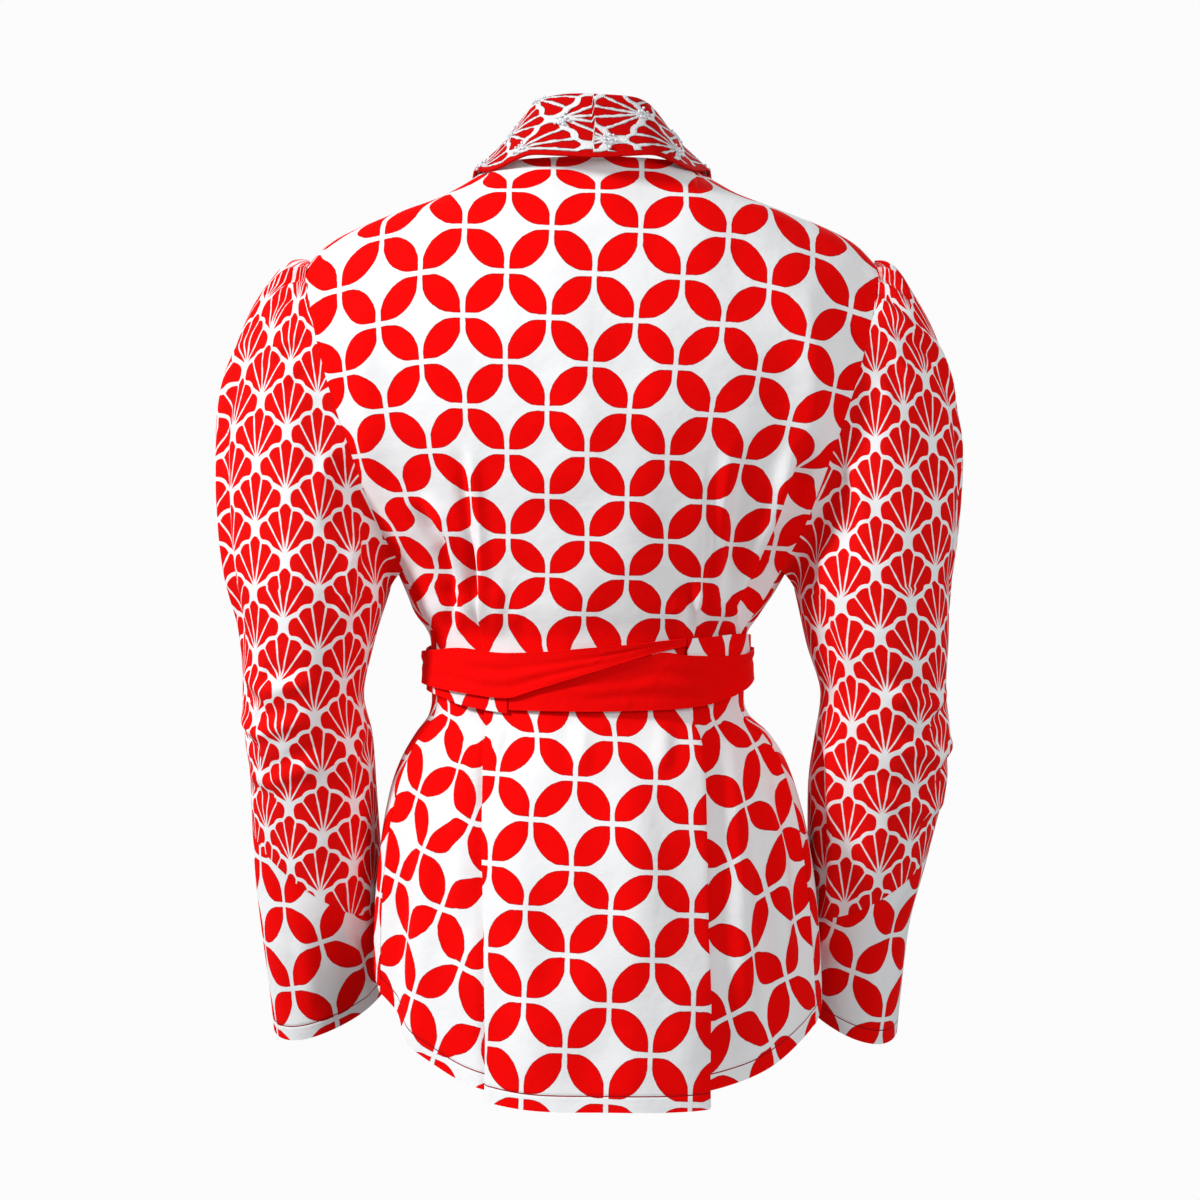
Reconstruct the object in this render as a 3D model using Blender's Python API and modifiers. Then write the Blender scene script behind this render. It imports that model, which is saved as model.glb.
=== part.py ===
"""Worn kebaya blouse: hollow cloth walls with a pleated back, puffed sleeves, rolled collar and sash.

Metres, +Z up. The wearer would face -Y, and the wearer's left is +X. The origin is midway
between the two points where the shoulder lines meet the neck.
"""

import bpy
from math import asin, cos, degrees, pi, radians, sin, sqrt
from mathutils import Vector

# ---------------------------------------------------------------- driving sizes
WALL = 0.0012            # cotton cloth, with its turned hems
COLLAR_WALL = 0.0016     # doubled cloth under embroidery
SEAM_GAP = 0.0006        # open line between two pieces at a seam
RIDGE_GAP = 0.0011       # each piece stops this far from the shoulder line
SEAM_STEP = 0.0017       # how far a sleeve or collar starts beyond the edge it is sewn to
NECK_HALF = 0.075        # neck point to centre
SHOULDER_HALF = 0.2075   # shoulder tip to centre
NECK_BACK = (0.060, 0.005)   # depth and height of the neckline at the centre back
UNDERARM = -0.292        # height where the sleeves end and the side seams start
SIDE_SEAM = radians(74)  # side seam, as an angle from the centre back
HEM_LOW = -0.6755        # shirt-tail hem at the centre back
HEM_RISE = 0.082         # how much higher the hem is at its highest
HEM_HIGH = radians(98)   # where it is highest, as an angle from the centre back
HEM_LEAN = 0.013         # the left side of the hem hangs this much higher, the right lower
PLEAT_PLY = 0.0021       # one layer of the folded pleat to the next
PLEAT_DEPTH = 0.012      # how far the folded cloth goes back under the centre panel
WAIST_SHIFT = 0.003      # the sash sits this far to the left
KNOT = (-0.002, -0.1120, -0.3615)   # knot of the ties, at the centre front

# ---------------------------------------------------------------- section tables
# Trunk rings from the underarm down, centre back over the side to the centre front.
TRUNK_COLUMNS = ("height", "half", "back", "front", "shift")
TRUNK = (
    (-0.292, 0.1430, 0.0940, 0.1180, 0.0000),
    (-0.310, 0.1340, 0.0895, 0.1110, 0.0010),
    (-0.325, 0.1255, 0.0855, 0.1020, 0.0030),
    (-0.335, 0.1182, 0.0822, 0.0962, 0.0030),
    (-0.342, 0.1152, 0.0804, 0.0956, 0.0030),
    (-0.358, 0.1140, 0.0790, 0.0955, 0.0030),
    (-0.388, 0.1140, 0.0790, 0.0955, 0.0030),
    (-0.398, 0.1165, 0.0805, 0.0960, 0.0025),
    (-0.412, 0.1290, 0.0850, 0.0990, 0.0000),
    (-0.430, 0.1400, 0.0920, 0.1040, -0.0010),
    (-0.455, 0.1490, 0.0990, 0.1090, -0.0015),
    (-0.495, 0.1570, 0.1080, 0.1150, -0.0020),
    (-0.545, 0.1620, 0.1160, 0.1200, -0.0030),
    (-0.600, 0.1640, 0.1220, 0.1240, -0.0040),
    (-0.680, 0.1660, 0.1280, 0.1280, -0.0040),
)

# Shoulder line from the neck point to the shoulder tip, over the ridge of the shoulder.
LINE_COLUMNS = ("out", "height")
SHOULDER_LINE = (
    (0.0750, 0.0020),
    (0.1100, -0.0185),
    (0.1450, -0.0315),
    (0.1750, -0.0440),
    (0.1940, -0.0550),
    (0.2075, -0.0690),
)

# Shoulder rows of the back and of a front: from the middle (mid) to the armhole (arm).
ROW_COLUMNS = ("mid_z", "arm_z", "arm_x", "mid_y", "arm_y", "turn", "swell")
BACK_ROWS = (
    (-0.020, -0.083, 0.2085, 0.068, 0.024, 60, 2.0),
    (-0.055, -0.105, 0.2040, 0.086, 0.042, 60, 1.3),
    (-0.095, -0.134, 0.1970, 0.098, 0.055, 60, 1.1),
    (-0.137, -0.166, 0.1880, 0.105, 0.061, 60, 1.0),
    (-0.180, -0.200, 0.1765, 0.107, 0.060, 61, 1.0),
    (-0.222, -0.233, 0.1650, 0.104, 0.051, 64, 1.0),
    (-0.260, -0.264, 0.1530, 0.099, 0.038, 69, 1.0),
)
FRONT_ROWS = (
    (-0.030, -0.085, 0.2070, 0.040, 0.016, 60, 1.2),
    (-0.068, -0.107, 0.1990, 0.072, 0.034, 60, 1.1),
    (-0.108, -0.136, 0.1890, 0.094, 0.047, 60, 1.0),
    (-0.148, -0.168, 0.1790, 0.110, 0.054, 62, 1.0),
    (-0.188, -0.202, 0.1690, 0.121, 0.055, 64, 1.0),
    (-0.226, -0.235, 0.1590, 0.124, 0.046, 70, 1.0),
    (-0.262, -0.265, 0.1490, 0.122, 0.016, 88, 1.0),
)

# Front edge: a low V to the waist, then the two fronts hang a little apart.
EDGE_COLUMNS = ("height", "edge")
FRONT_EDGE = (
    (0.002, 0.0750),
    (-0.060, 0.0640),
    (-0.150, 0.0430),
    (-0.240, 0.0200),
    (-0.300, 0.0040),
    (-0.340, 0.0015),
    (-0.410, 0.0015),
    (-0.520, 0.0100),
    (-0.680, 0.0260),
)

# Pleat on each side of the centre back: where its edge runs, how proud the centre panel
# stands of the side panel, and how far the cloth is folded back under it.
PLEAT_COLUMNS = ("height", "edge", "proud", "folded")
PLEAT = (
    (0.010, 0.0750, 0.00, 0.0),
    (-0.200, 0.0850, 0.00, 0.0),
    (-0.270, 0.0830, 0.60, 0.0),
    (-0.320, 0.0800, 1.00, 0.3),
    (-0.350, 0.0770, 0.80, 0.5),
    (-0.390, 0.0770, 0.80, 0.5),
    (-0.430, 0.0790, 1.00, 1.0),
    (-0.700, 0.0790, 1.00, 1.0),
)
# The fold's own path: across (in pleat depths) and inwards (in plies), and where the same
# cloth lies when the pleat is open (across, in pleat depths).
FOLD_COLUMNS = ("across", "plies", "open_across")
FOLD = (
    (0.00, 0.00, -0.55),
    (0.10, 0.15, -0.42),
    (0.14, 0.50, -0.32),
    (0.10, 0.85, -0.22),
    (0.00, 1.00, -0.12),
    (-0.88, 1.00, 0.12),
    (-0.98, 1.15, 0.22),
    (-1.02, 1.50, 0.32),
    (-0.98, 1.85, 0.42),
    (-0.88, 2.00, 0.55),
)

# Sleeve and cuff rings below the underarm. The left arm hangs a little wider than the right.
# rise_in is how much higher the inner side of a ring is, lead how far forward the ring is,
# tip how much lower its back is.
RING_COLUMNS = ("out_x", "height", "in_x", "rise_in", "lead", "deep", "tip")
LEFT_RINGS = (
    (0.2660, -0.298, 0.1490, -0.010, -0.004, 0.066, 0.004),
    (0.2575, -0.338, 0.1600, -0.008, -0.003, 0.063, 0.005),
    (0.2555, -0.378, 0.1690, -0.006, 0.000, 0.058, 0.006),
    (0.2555, -0.412, 0.1630, -0.002, 0.008, 0.057, 0.010),
    (0.2525, -0.442, 0.1595, -0.014, 0.021, 0.056, 0.016),
    (0.2525, -0.480, 0.1570, -0.062, 0.042, 0.054, 0.019),
    (0.2480, -0.556, 0.1560, -0.010, 0.062, 0.051, 0.019),
    (0.2400, -0.641, 0.1550, 0.036, 0.085, 0.048, 0.017),
)
RIGHT_RINGS = (
    (0.2625, -0.298, 0.1490, -0.010, -0.004, 0.066, 0.004),
    (0.2610, -0.338, 0.1580, -0.008, -0.003, 0.063, 0.005),
    (0.2590, -0.378, 0.1690, -0.006, 0.000, 0.058, 0.006),
    (0.2625, -0.412, 0.1655, -0.002, 0.008, 0.057, 0.010),
    (0.2625, -0.442, 0.1610, -0.014, 0.021, 0.056, 0.016),
    (0.2510, -0.494, 0.1600, -0.048, 0.042, 0.054, 0.019),
    (0.2370, -0.556, 0.1585, -0.010, 0.062, 0.051, 0.019),
    (0.2300, -0.641, 0.1570, 0.030, 0.085, 0.048, 0.017),
)
CUFF_RING = 5            # the ring at which the cuff is sewn on

# Sleeve head between armhole and first ring, at four places round it: shoulder tip, back,
# underarm and front.
HEAD_COLUMNS = ("away", "up", "wide", "fall")
LEFT_HEAD = (
    (0.038, 0.006, 0.024, 0.148),
    (0.032, -0.002, 0.000, 0.080),
    (0.004, -0.004, 0.000, 0.006),
    (0.032, -0.002, 0.000, 0.080),
)
RIGHT_HEAD = (
    (0.025, 0.002, 0.026, 0.148),
    (0.030, -0.002, 0.000, 0.080),
    (0.004, -0.004, 0.000, 0.006),
    (0.030, -0.002, 0.000, 0.080),
)

# Collar from the centre back round the neck: seam, roll line and outer edge.
COLLAR_COLUMNS = ("seam_x", "seam_y", "seam_z", "roll_x", "roll_y", "roll_z",
                  "edge_x", "edge_y", "edge_z")
COLLAR = (
    (0.000, 0.0605, 0.0076, 0.000, 0.0540, 0.0490, 0.000, 0.0790, 0.0052),
    (0.027, 0.0565, 0.0076, 0.022, 0.0500, 0.0488, 0.032, 0.0735, 0.0045),
    (0.050, 0.0445, 0.0072, 0.038, 0.0360, 0.0455, 0.057, 0.0570, 0.0015),
    (0.066, 0.0255, 0.0064, 0.046, 0.0160, 0.0390, 0.074, 0.0330, -0.0020),
    (0.0742, 0.0015, 0.0056, 0.0510, -0.008, 0.0300, 0.086, 0.0020, 0.0008),
)
# From there the collar lies on the front: place along the front's rows, its width, how high
# it still stands at the roll line and how far that leans over the neck.
LAPEL_COLUMNS = ("row", "width", "stand", "lean")
LAPEL = (
    (0.35, 0.017, 0.0220, 0.0150),
    (0.70, 0.024, 0.0170, 0.0095),
    (1.10, 0.033, 0.0110, 0.0052),
    (1.60, 0.042, 0.0060, 0.0025),
    (2.30, 0.050, 0.0015, 0.0005),
    (3.10, 0.054, 0.0000, 0.0000),
    (3.90, 0.054, 0.0000, 0.0000),
    (4.70, 0.051, 0.0000, 0.0000),
    (5.50, 0.046, 0.0000, 0.0000),
    (6.30, 0.040, 0.0000, 0.0000),
    (7.10, 0.033, 0.0000, 0.0000),
    (7.90, 0.025, 0.0000, 0.0000),
)
LAPEL_LIFT = 0.0030
FRONT_TRIM = 0.0025      # part of a row of the front left open at its side edge
# Across the collar from its seam: place, height and lean as fractions.
ARCH_COLUMNS = ("place", "height", "lean")
ARCH = (
    (0.00, 0.00, 0.00),
    (0.03, 0.55, 0.50),
    (0.07, 0.95, 0.97),
    (0.12, 1.00, 1.00),
    (0.30, 0.74, 0.66),
    (0.60, 0.36, 0.26),
    (1.00, 0.00, 0.00),
)

# Bands of the sash round the waist: angle from the centre back (left is positive), upper
# and lower edge, and how far the band lies outside the waist ring.
BAND_COLUMNS = ("angle", "top", "bottom", "out")
OBI = (
    (29.2, -0.3545, -0.3960, 0.0022),
    (50.0, -0.3520, -0.3905, 0.0022),
    (70.0, -0.3510, -0.3830, 0.0022),
    (90.0, -0.3500, -0.3800, 0.0022),
    (130.0, -0.3420, -0.3880, 0.0024),
    (180.0, -0.3385, -0.3920, 0.0030),
    (230.0, -0.3390, -0.3880, 0.0030),
    (270.0, -0.3400, -0.3720, 0.0030),
    (290.0, -0.3390, -0.3760, 0.0030),
    (310.0, -0.3410, -0.3840, 0.0024),
    (322.6, -0.3425, -0.3880, 0.0022),
)
UPPER_TIE = (
    (-36.9, -0.3425, -0.3478, 0.0020),
    (-27.0, -0.3440, -0.3512, 0.0028),
    (-18.0, -0.3460, -0.3560, 0.0042),
    (0.0, -0.3490, -0.3675, 0.0052),
    (18.0, -0.3520, -0.3790, 0.0052),
    (29.0, -0.3525, -0.3850, 0.0052),
    (50.0, -0.3490, -0.3810, 0.0052),
    (70.0, -0.3510, -0.3775, 0.0052),
    (90.0, -0.3520, -0.3750, 0.0052),
    (130.0, -0.3500, -0.3740, 0.0052),
    (170.5, -0.3530, -0.3700, 0.0052),
)
LOWER_TIE = (
    (28.6, -0.3545, -0.3935, 0.0020),
    (18.0, -0.3570, -0.3940, 0.0020),
    (0.0, -0.3615, -0.3945, 0.0022),
    (-18.0, -0.3568, -0.3940, 0.0026),
    (-27.0, -0.3522, -0.3935, 0.0036),
    (-38.0, -0.3545, -0.3920, 0.0048),
    (-50.0, -0.3550, -0.3885, 0.0052),
    (-70.0, -0.3540, -0.3800, 0.0052),
    (-90.0, -0.3495, -0.3720, 0.0052),
    (-130.0, -0.3480, -0.3720, 0.0052),
    (-170.5, -0.3530, -0.3700, 0.0052),
)
WAIST = (0.1160, 0.0812, 0.0980)     # half width, back and front depth inside the sash
KNOT_SIZE = (0.0170, 0.0095, 0.0135)
TAIL_COLUMNS = ("down", "across", "half")
TAIL = (
    (0.018, 0.006, 0.008),
    (0.045, 0.012, 0.013),
    (0.090, 0.018, 0.016),
    (0.140, 0.022, 0.017),
    (0.190, 0.024, 0.017),
)
TAIL_LIFT = 0.010        # the tails hang this far in front of the fronts and the sash
TAIL_STEP = 0.0024       # and the left one this much further, over the right
SASH_FRONT = 0.1040      # front of the sash

# ---------------------------------------------------------------- tables to curves


def column(table, columns, name):
    return [row[columns.index(name)] for row in table]


def smooth(xs, ys, x):
    """Value at x on the smooth curve through a table, with no overshoot between its rows."""
    if xs[0] > xs[-1]:
        xs, ys = xs[::-1], ys[::-1]
    if x <= xs[0]:
        return ys[0]
    if x >= xs[-1]:
        return ys[-1]
    i = max(k for k in range(len(xs) - 1) if xs[k] <= x)
    slopes = [(ys[k + 1] - ys[k]) / (xs[k + 1] - xs[k]) for k in range(len(xs) - 1)]

    def tangent(k):
        if k == 0 or k == len(xs) - 1:
            return slopes[min(k, len(slopes) - 1)]
        before, after = slopes[k - 1], slopes[k]
        return 2 * before * after / (before + after) if before * after > 0 else 0.0

    h = xs[i + 1] - xs[i]
    t = (x - xs[i]) / h
    return (
        ys[i] * (1 + 2 * t) * (1 - t) ** 2
        + ys[i + 1] * (3 - 2 * t) * t * t
        + h * tangent(i) * t * (1 - t) ** 2
        + h * tangent(i + 1) * (t - 1) * t * t
    )


def named(columns, row):
    return dict(zip(columns, row))


def read(table, columns, name, at, key=None):
    """One column of a table at a place along its key column, or along its row number."""
    keys = column(table, columns, key) if key else list(range(len(table)))
    return smooth(keys, column(table, columns, name), at)


def read_all(table, columns, at, key=None):
    return {name: read(table, columns, name, at, key) for name in columns}


# ---------------------------------------------------------------- trunk surface


def trunk_point(angle, height):
    """Point of the trunk below the underarm; angle 0 is the centre back, pi the centre front."""
    ring = read_all(TRUNK, TRUNK_COLUMNS, height, "height")
    depth = ring["back"] if cos(angle) > 0 else ring["front"]
    return Vector((ring["half"] * sin(angle) + ring["shift"], depth * cos(angle), height))


def hem_height(angle, side):
    """Height of the shirt-tail hem, lowest at the centre back and centre front."""
    reach = HEM_HIGH if angle <= HEM_HIGH else pi - HEM_HIGH
    part = min(angle, pi - angle if angle > HEM_HIGH else angle) / reach
    lift = (0.5 - 0.5 * cos(pi * part)) ** 1.6
    return HEM_LOW + HEM_RISE * lift + side * HEM_LEAN * sin(angle) ** 2.5


def with_trunk_rows(rows, turn):
    """Shoulder rows, then the underarm row and the next trunk ring in the same columns."""
    joined = list(rows)
    for height in (UNDERARM, -0.330):
        ring = read_all(TRUNK, TRUNK_COLUMNS, height, "height")
        depth = ring["back"] if turn == SIDE_SEAM else ring["front"]
        arm_x = ring["half"] * sin(SIDE_SEAM)
        arm_y = ring["back"] * cos(SIDE_SEAM) * (1 if turn == SIDE_SEAM else -1)
        joined.append((height, height, arm_x, depth, arm_y, degrees(turn), 1.0))
    return joined


BACK_ALL = with_trunk_rows(BACK_ROWS, SIDE_SEAM)
FRONT_ALL = with_trunk_rows(FRONT_ROWS, pi - SIDE_SEAM)
LAST_ROW = len(BACK_ROWS) + 1


def row_point(rows, row, part):
    """Point of a shoulder row: part 0 is the middle, 1 the armhole. y points away from the body."""
    at = read_all(rows, ROW_COLUMNS, row - 1)
    turn = radians(at["turn"])
    low = cos(turn)
    if turn <= pi / 2:
        bend = max(0.0, (cos(part * turn) - low) / (1 - low)) ** at["swell"]
        y = at["arm_y"] + (at["mid_y"] - at["arm_y"]) * bend
    else:
        # beyond the side the ring has the back's depth
        y = at["mid_y"] * cos(part * turn)
        if y < 0:
            y = at["arm_y"] * cos(part * turn) / low
    x = at["arm_x"] * sin(part * turn) / sin(turn)
    return Vector((x, y, at["mid_z"] + (at["arm_z"] - at["mid_z"]) * part * part))


def top_edge(part, back):
    """Neckline and shoulder line, on the same columns as the rows below."""
    x = SHOULDER_HALF * sin(part * radians(60)) / sin(radians(60))
    if abs(x) > NECK_HALF - 1e-6:
        along = (abs(x) - NECK_HALF) / (SHOULDER_HALF - NECK_HALF)
        z = read(SHOULDER_LINE, LINE_COLUMNS, "height", abs(x), "out")
        return Vector((x, 0.004 * along * (1 if back else -1), z))
    round_neck = sqrt(max(0.0, 1 - (x / NECK_HALF) ** 2))
    return Vector((x, NECK_BACK[0] * round_neck, 0.002 + (NECK_BACK[1] - 0.002) * round_neck))


def shoulder_point(rows, row, part, back):
    """Point of the shoulder part, rounded over the shoulder line above the first row."""
    if row >= 1:
        return row_point(rows, row, part)
    start, end = top_edge(part, back), row_point(rows, 1, part)
    leave = (end - start) * 0.9 + Vector((0, 0.010, 0.008)) * min(1, abs(part) / 0.303) ** 2
    arrive = (row_point(rows, 1.3, part) - row_point(rows, 1.0, part)) / 0.3
    t = row
    return (
        start * ((1 + 2 * t) * (1 - t) ** 2)
        + end * ((3 - 2 * t) * t * t)
        + leave * (t * (1 - t) ** 2)
        + arrive * ((t - 1) * t * t)
    )


def half_panel_point(part, row, side, back):
    """Point of one half (side 1 left, -1 right) of the back or of a front.

    row runs from 0 at the shoulder to LAST_ROW at the underarm and one more to the hem."""
    turn = SIDE_SEAM if back else pi - SIDE_SEAM
    if row <= LAST_ROW:
        p = shoulder_point(BACK_ALL if back else FRONT_ALL, row, part, back)
        if not back:
            p.y = -p.y
    else:
        angle = part * turn if back else pi - part * turn
        hem = hem_height(abs(angle), side)
        p = trunk_point(abs(angle), UNDERARM + (hem - UNDERARM) * (row - LAST_ROW))
        shift = read(TRUNK, TRUNK_COLUMNS, "shift", p.z, "height")
        p.x = (p.x - shift) * (1 if part >= 0 else -1) + side * shift
    return Vector((p.x * side, p.y, p.z))


def rows_to_hem(upper_steps, lower_heights):
    """Row numbers: even steps down to the underarm, then heights at the centre back."""
    rows = [LAST_ROW * i / upper_steps for i in range(upper_steps + 1)]
    return rows + [LAST_ROW + (h - UNDERARM) / (HEM_LOW - UNDERARM) for h in lower_heights]


def part_at(x, row, back):
    """Fraction of the way round at which a half panel is x from the centre."""
    if row <= LAST_ROW:
        rows = BACK_ALL if back else FRONT_ALL
        turn = radians(read(rows, ROW_COLUMNS, "turn", row - 1) if row > 1 else 60)
        reach = read(rows, ROW_COLUMNS, "arm_x", row - 1) if row >= 1 else (
            SHOULDER_HALF + (rows[0][2] - SHOULDER_HALF) * row)
        return asin(min(1.0, x * sin(turn) / reach)) / turn
    height = UNDERARM + (HEM_LOW - UNDERARM) * (row - LAST_ROW)
    half = read(TRUNK, TRUNK_COLUMNS, "half", height, "height")
    return asin(min(1.0, x / half)) / (SIDE_SEAM if back else pi - SIDE_SEAM)


def outward(point_at, part, row):
    """Unit normal, away from the body, of a surface given as a function of part and row."""
    step = 0.004
    across = point_at(part + step, row) - point_at(part - step, row)
    down = point_at(part, row + step) - point_at(part, max(0, row - step))
    normal = across.cross(down).normalized()
    return normal


# ---------------------------------------------------------------- pieces


def material(name, colour, roughness=0.85):
    made = bpy.data.materials.new(name)
    made.use_nodes = True
    surface = made.node_tree.nodes["Principled BSDF"]
    surface.inputs["Base Color"].default_value = (*colour, 1)
    surface.inputs["Roughness"].default_value = roughness
    return made


def cloth(name, grid, wall, finish, closed_round=False):
    """A sheet lofted through rows of points, given its wall with Solidify."""
    wide = len(grid[0])
    across = wide if closed_round else wide - 1
    faces = [
        (r * wide + c, (r + 1) * wide + c, (r + 1) * wide + (c + 1) % wide, r * wide + (c + 1) % wide)
        for r in range(len(grid) - 1)
        for c in range(across)
    ]
    mesh = bpy.data.meshes.new(name)
    mesh.from_pydata([tuple(p) for row in grid for p in row], [], faces)
    mesh.materials.append(finish)
    mesh.shade_smooth()
    made = bpy.data.objects.new(name, mesh)
    garment.objects.link(made)
    thick = made.modifiers.new("wall", "SOLIDIFY")
    thick.thickness = wall
    thick.offset = 0.0
    thick.use_even_offset = True
    thick.use_quality_normals = True
    return made


def back_point(part, row):
    side = 1 if part >= 0 else -1
    return half_panel_point(abs(part), row, side, True)


def back_columns(row):
    """Points across half of the back, with the pleat folded as far as the row asks."""
    height = back_point(0, row).z
    pleat = read_all(PLEAT, PLEAT_COLUMNS, height, "height")
    edge = part_at(pleat["edge"], row, True)
    per_metre = edge / pleat["edge"]
    last = 1 - SEAM_GAP / 2 * per_metre
    fold = []
    for at in (named(FOLD_COLUMNS, row) for row in FOLD):
        spread = at["open_across"] + (at["across"] - at["open_across"]) * pleat["folded"]
        sunk = at["plies"] * PLEAT_PLY * pleat["proud"]
        fold.append((edge + spread * PLEAT_DEPTH * per_metre, sunk))
    start, end = fold[0][0], fold[-1][0]
    inner = [(start * i / 4, 0.0) for i in range(4)]
    outer = [(end + (last - end) * i / 5, fold[-1][1] * (1 - i / 5) ** 0.5) for i in range(1, 6)]
    return inner + fold + outer


def back_sheet():
    rows = rows_to_hem(8, (-0.312, -0.330, -0.344, -0.370, -0.396, -0.414, -0.436, -0.468,
                           -0.515, -0.570, -0.625, HEM_LOW))
    grid = []
    for row in rows:
        places = back_columns(row)
        places = [(-part, sunk) for part, sunk in reversed(places[1:])] + places
        line = []
        for part, sunk in places:
            p = back_point(part, row)
            if sunk:
                p = p - outward(back_point, part, row) * sunk
            line.append(p)
        grid.append(line)
    for p in grid[0]:
        p.y += RIDGE_GAP
    return grid


def front_point(side):
    def point(part, row):
        return half_panel_point(part, row, side, False)
    return point


def front_edge_part(row):
    """Where the front edge lies across a row of the front."""
    if row <= LAST_ROW:
        height = read(FRONT_ALL, ROW_COLUMNS, "mid_z", row - 1) if row >= 1 else 0.002 - 0.032 * row
    else:
        height = UNDERARM + (HEM_LOW - UNDERARM) * (row - LAST_ROW)
    return part_at(read(FRONT_EDGE, EDGE_COLUMNS, "edge", height, "height"), row, False)


def front_sheet(side):
    rows = rows_to_hem(8, (-0.312, -0.330, -0.344, -0.370, -0.396, -0.414, -0.436, -0.480,
                           -0.540, -0.610, HEM_LOW))
    point = front_point(side)
    grid = []
    for row in rows:
        start = front_edge_part(row)
        last = 1 - FRONT_TRIM
        line = [point(start + (last - start) * i / 8, row) for i in range(9)]
        grid.append(line if side < 0 else line[::-1])
    for p in grid[0]:
        p.y -= RIDGE_GAP
    return grid


def armhole_point(turn, side):
    """Edge of the armhole: turn 0 at the shoulder tip, 0.25 back, 0.5 underarm, 0.75 front."""
    back = turn <= 0.5
    row = LAST_ROW * (turn if back else 1 - turn) * 2
    return half_panel_point(1.0, row, side, back)


def ring_point(table, index, turn, side):
    at = read_all(table, RING_COLUMNS, index)
    outer = Vector((at["out_x"], 0, at["height"]))
    inner = Vector((at["in_x"], 0, at["height"] + at["rise_in"]))
    centre = (outer + inner) / 2 + Vector((0, -at["lead"], 0))
    p = centre + (outer - inner) / 2 * cos(2 * pi * turn)
    p += Vector((0, at["deep"], -at["tip"])) * sin(2 * pi * turn)
    return Vector((p.x * side, p.y, p.z))


def head_point(table, along, turn, side):
    """Sleeve head: along 0 at the armhole seam, 1 at the first ring."""
    head = LEFT_HEAD if side > 0 else RIGHT_HEAD
    place = turn * 4
    low = int(place) % 4
    mix = 0.5 - 0.5 * cos(pi * (place - int(place)))
    here, beyond = named(HEAD_COLUMNS, head[low]), named(HEAD_COLUMNS, head[(low + 1) % 4])
    at = {name: here[name] * (1 - mix) + beyond[name] * mix for name in HEAD_COLUMNS}
    start = armhole_point(turn, side)
    end = ring_point(table, 0, turn, side)
    off = Vector((side * 0.9, 0.25 * sin(2 * pi * turn), 0.35 * cos(2 * pi * turn))).normalized()
    start = start + off * SEAM_STEP
    leave = start + Vector((side * at["away"], 0, at["up"]))
    arrive = end + Vector((side * at["wide"], 0, at["fall"]))
    t = along
    return (
        start * (1 - t) ** 3
        + leave * (3 * t * (1 - t) ** 2)
        + arrive * (3 * t * t * (1 - t))
        + end * t ** 3
    )


def sleeve_sheet(table, side, around=20):
    turns = [i / around for i in range(around)]
    if side < 0:
        turns = turns[::-1]
    grid = [[head_point(table, t, turn, side) for turn in turns]
            for t in (0, 0.10, 0.24, 0.40, 0.58, 0.78)]
    stop = CUFF_RING - 0.006
    for index in (0, 1, 2, 3, 4, stop):
        grid.append([ring_point(table, index, turn, side) for turn in turns])
    return grid


def cuff_sheet(table, side, around=20):
    turns = [i / around for i in range(around)]
    if side < 0:
        turns = turns[::-1]
    start = CUFF_RING + 0.020
    return [[ring_point(table, index, turn, side) for turn in turns]
            for index in (start, 5.7, 6.4, 7)]


def collar_line(station, side):
    """Points across the collar at a station of the neck table, over the roll line."""
    at = read_all(COLLAR, COLLAR_COLUMNS, station)
    seam = Vector((at["seam_x"], at["seam_y"], at["seam_z"]))
    roll = Vector((at["roll_x"], at["roll_y"], at["roll_z"]))
    edge = Vector((at["edge_x"], at["edge_y"], at["edge_z"]))
    away = Vector((edge.x - seam.x, edge.y - seam.y, 0)).normalized() * 0.0028
    line = [seam, seam.lerp(roll, 0.5), roll - away * 0.4, roll + away * 0.6 + Vector((0, 0, 0.0008)),
            roll + away * 1.8 - Vector((0, 0, 0.0016)), roll.lerp(edge, 0.42) + away, edge]
    return [Vector((p.x * side, p.y, p.z)) for p in line]


def lapel_line(lapel, side):
    """Points across the collar where it lies on the front, from its seam outwards."""
    point = front_point(side)
    row = lapel["row"]
    start = front_edge_part(row)
    step = 0.02
    inwards = point(start, row) - point(start + step, row)
    per_metre = step / inwards.length
    line = []
    for at in (named(ARCH_COLUMNS, place) for place in ARCH):
        part = start + at["place"] * lapel["width"] * per_metre
        off = outward(point, part, row) * -side * (LAPEL_LIFT + lapel["stand"] * at["height"])
        over = inwards.normalized() * lapel["lean"] * at["lean"]
        line.append(point(part, row) + off + over)
    return line


def collar_sheet():
    halves = {}
    for side in (1, -1):
        lines = [collar_line(station, side) for station in (0, 0.7, 1.4, 2, 2.5, 3, 3.5, 4)]
        lines += [lapel_line(named(LAPEL_COLUMNS, row), side) for row in LAPEL]
        halves[side] = lines
    grid = halves[1][::-1] + halves[-1][1:]
    return [line[::-1] for line in grid]


def waist_point(angle, height, out):
    half, back, front = WAIST
    depth = (back if cos(angle) > 0 else front) + out
    return Vector(((half + out) * sin(angle) + WAIST_SHIFT, depth * cos(angle), height))


def band_sheet(table, start, end, steps, tall=3):
    """A band of the sash round the waist, from one angle to another."""
    grid = []
    for i in range(steps + 1):
        angle = start + (end - start) * i / steps
        at = read_all(table, BAND_COLUMNS, angle, "angle")
        line = []
        for k in range(tall + 1):
            height = at["top"] + (at["bottom"] - at["top"]) * k / tall
            line.append(waist_point(radians(angle), height, at["out"]))
        grid.append(line)
    return grid


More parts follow.
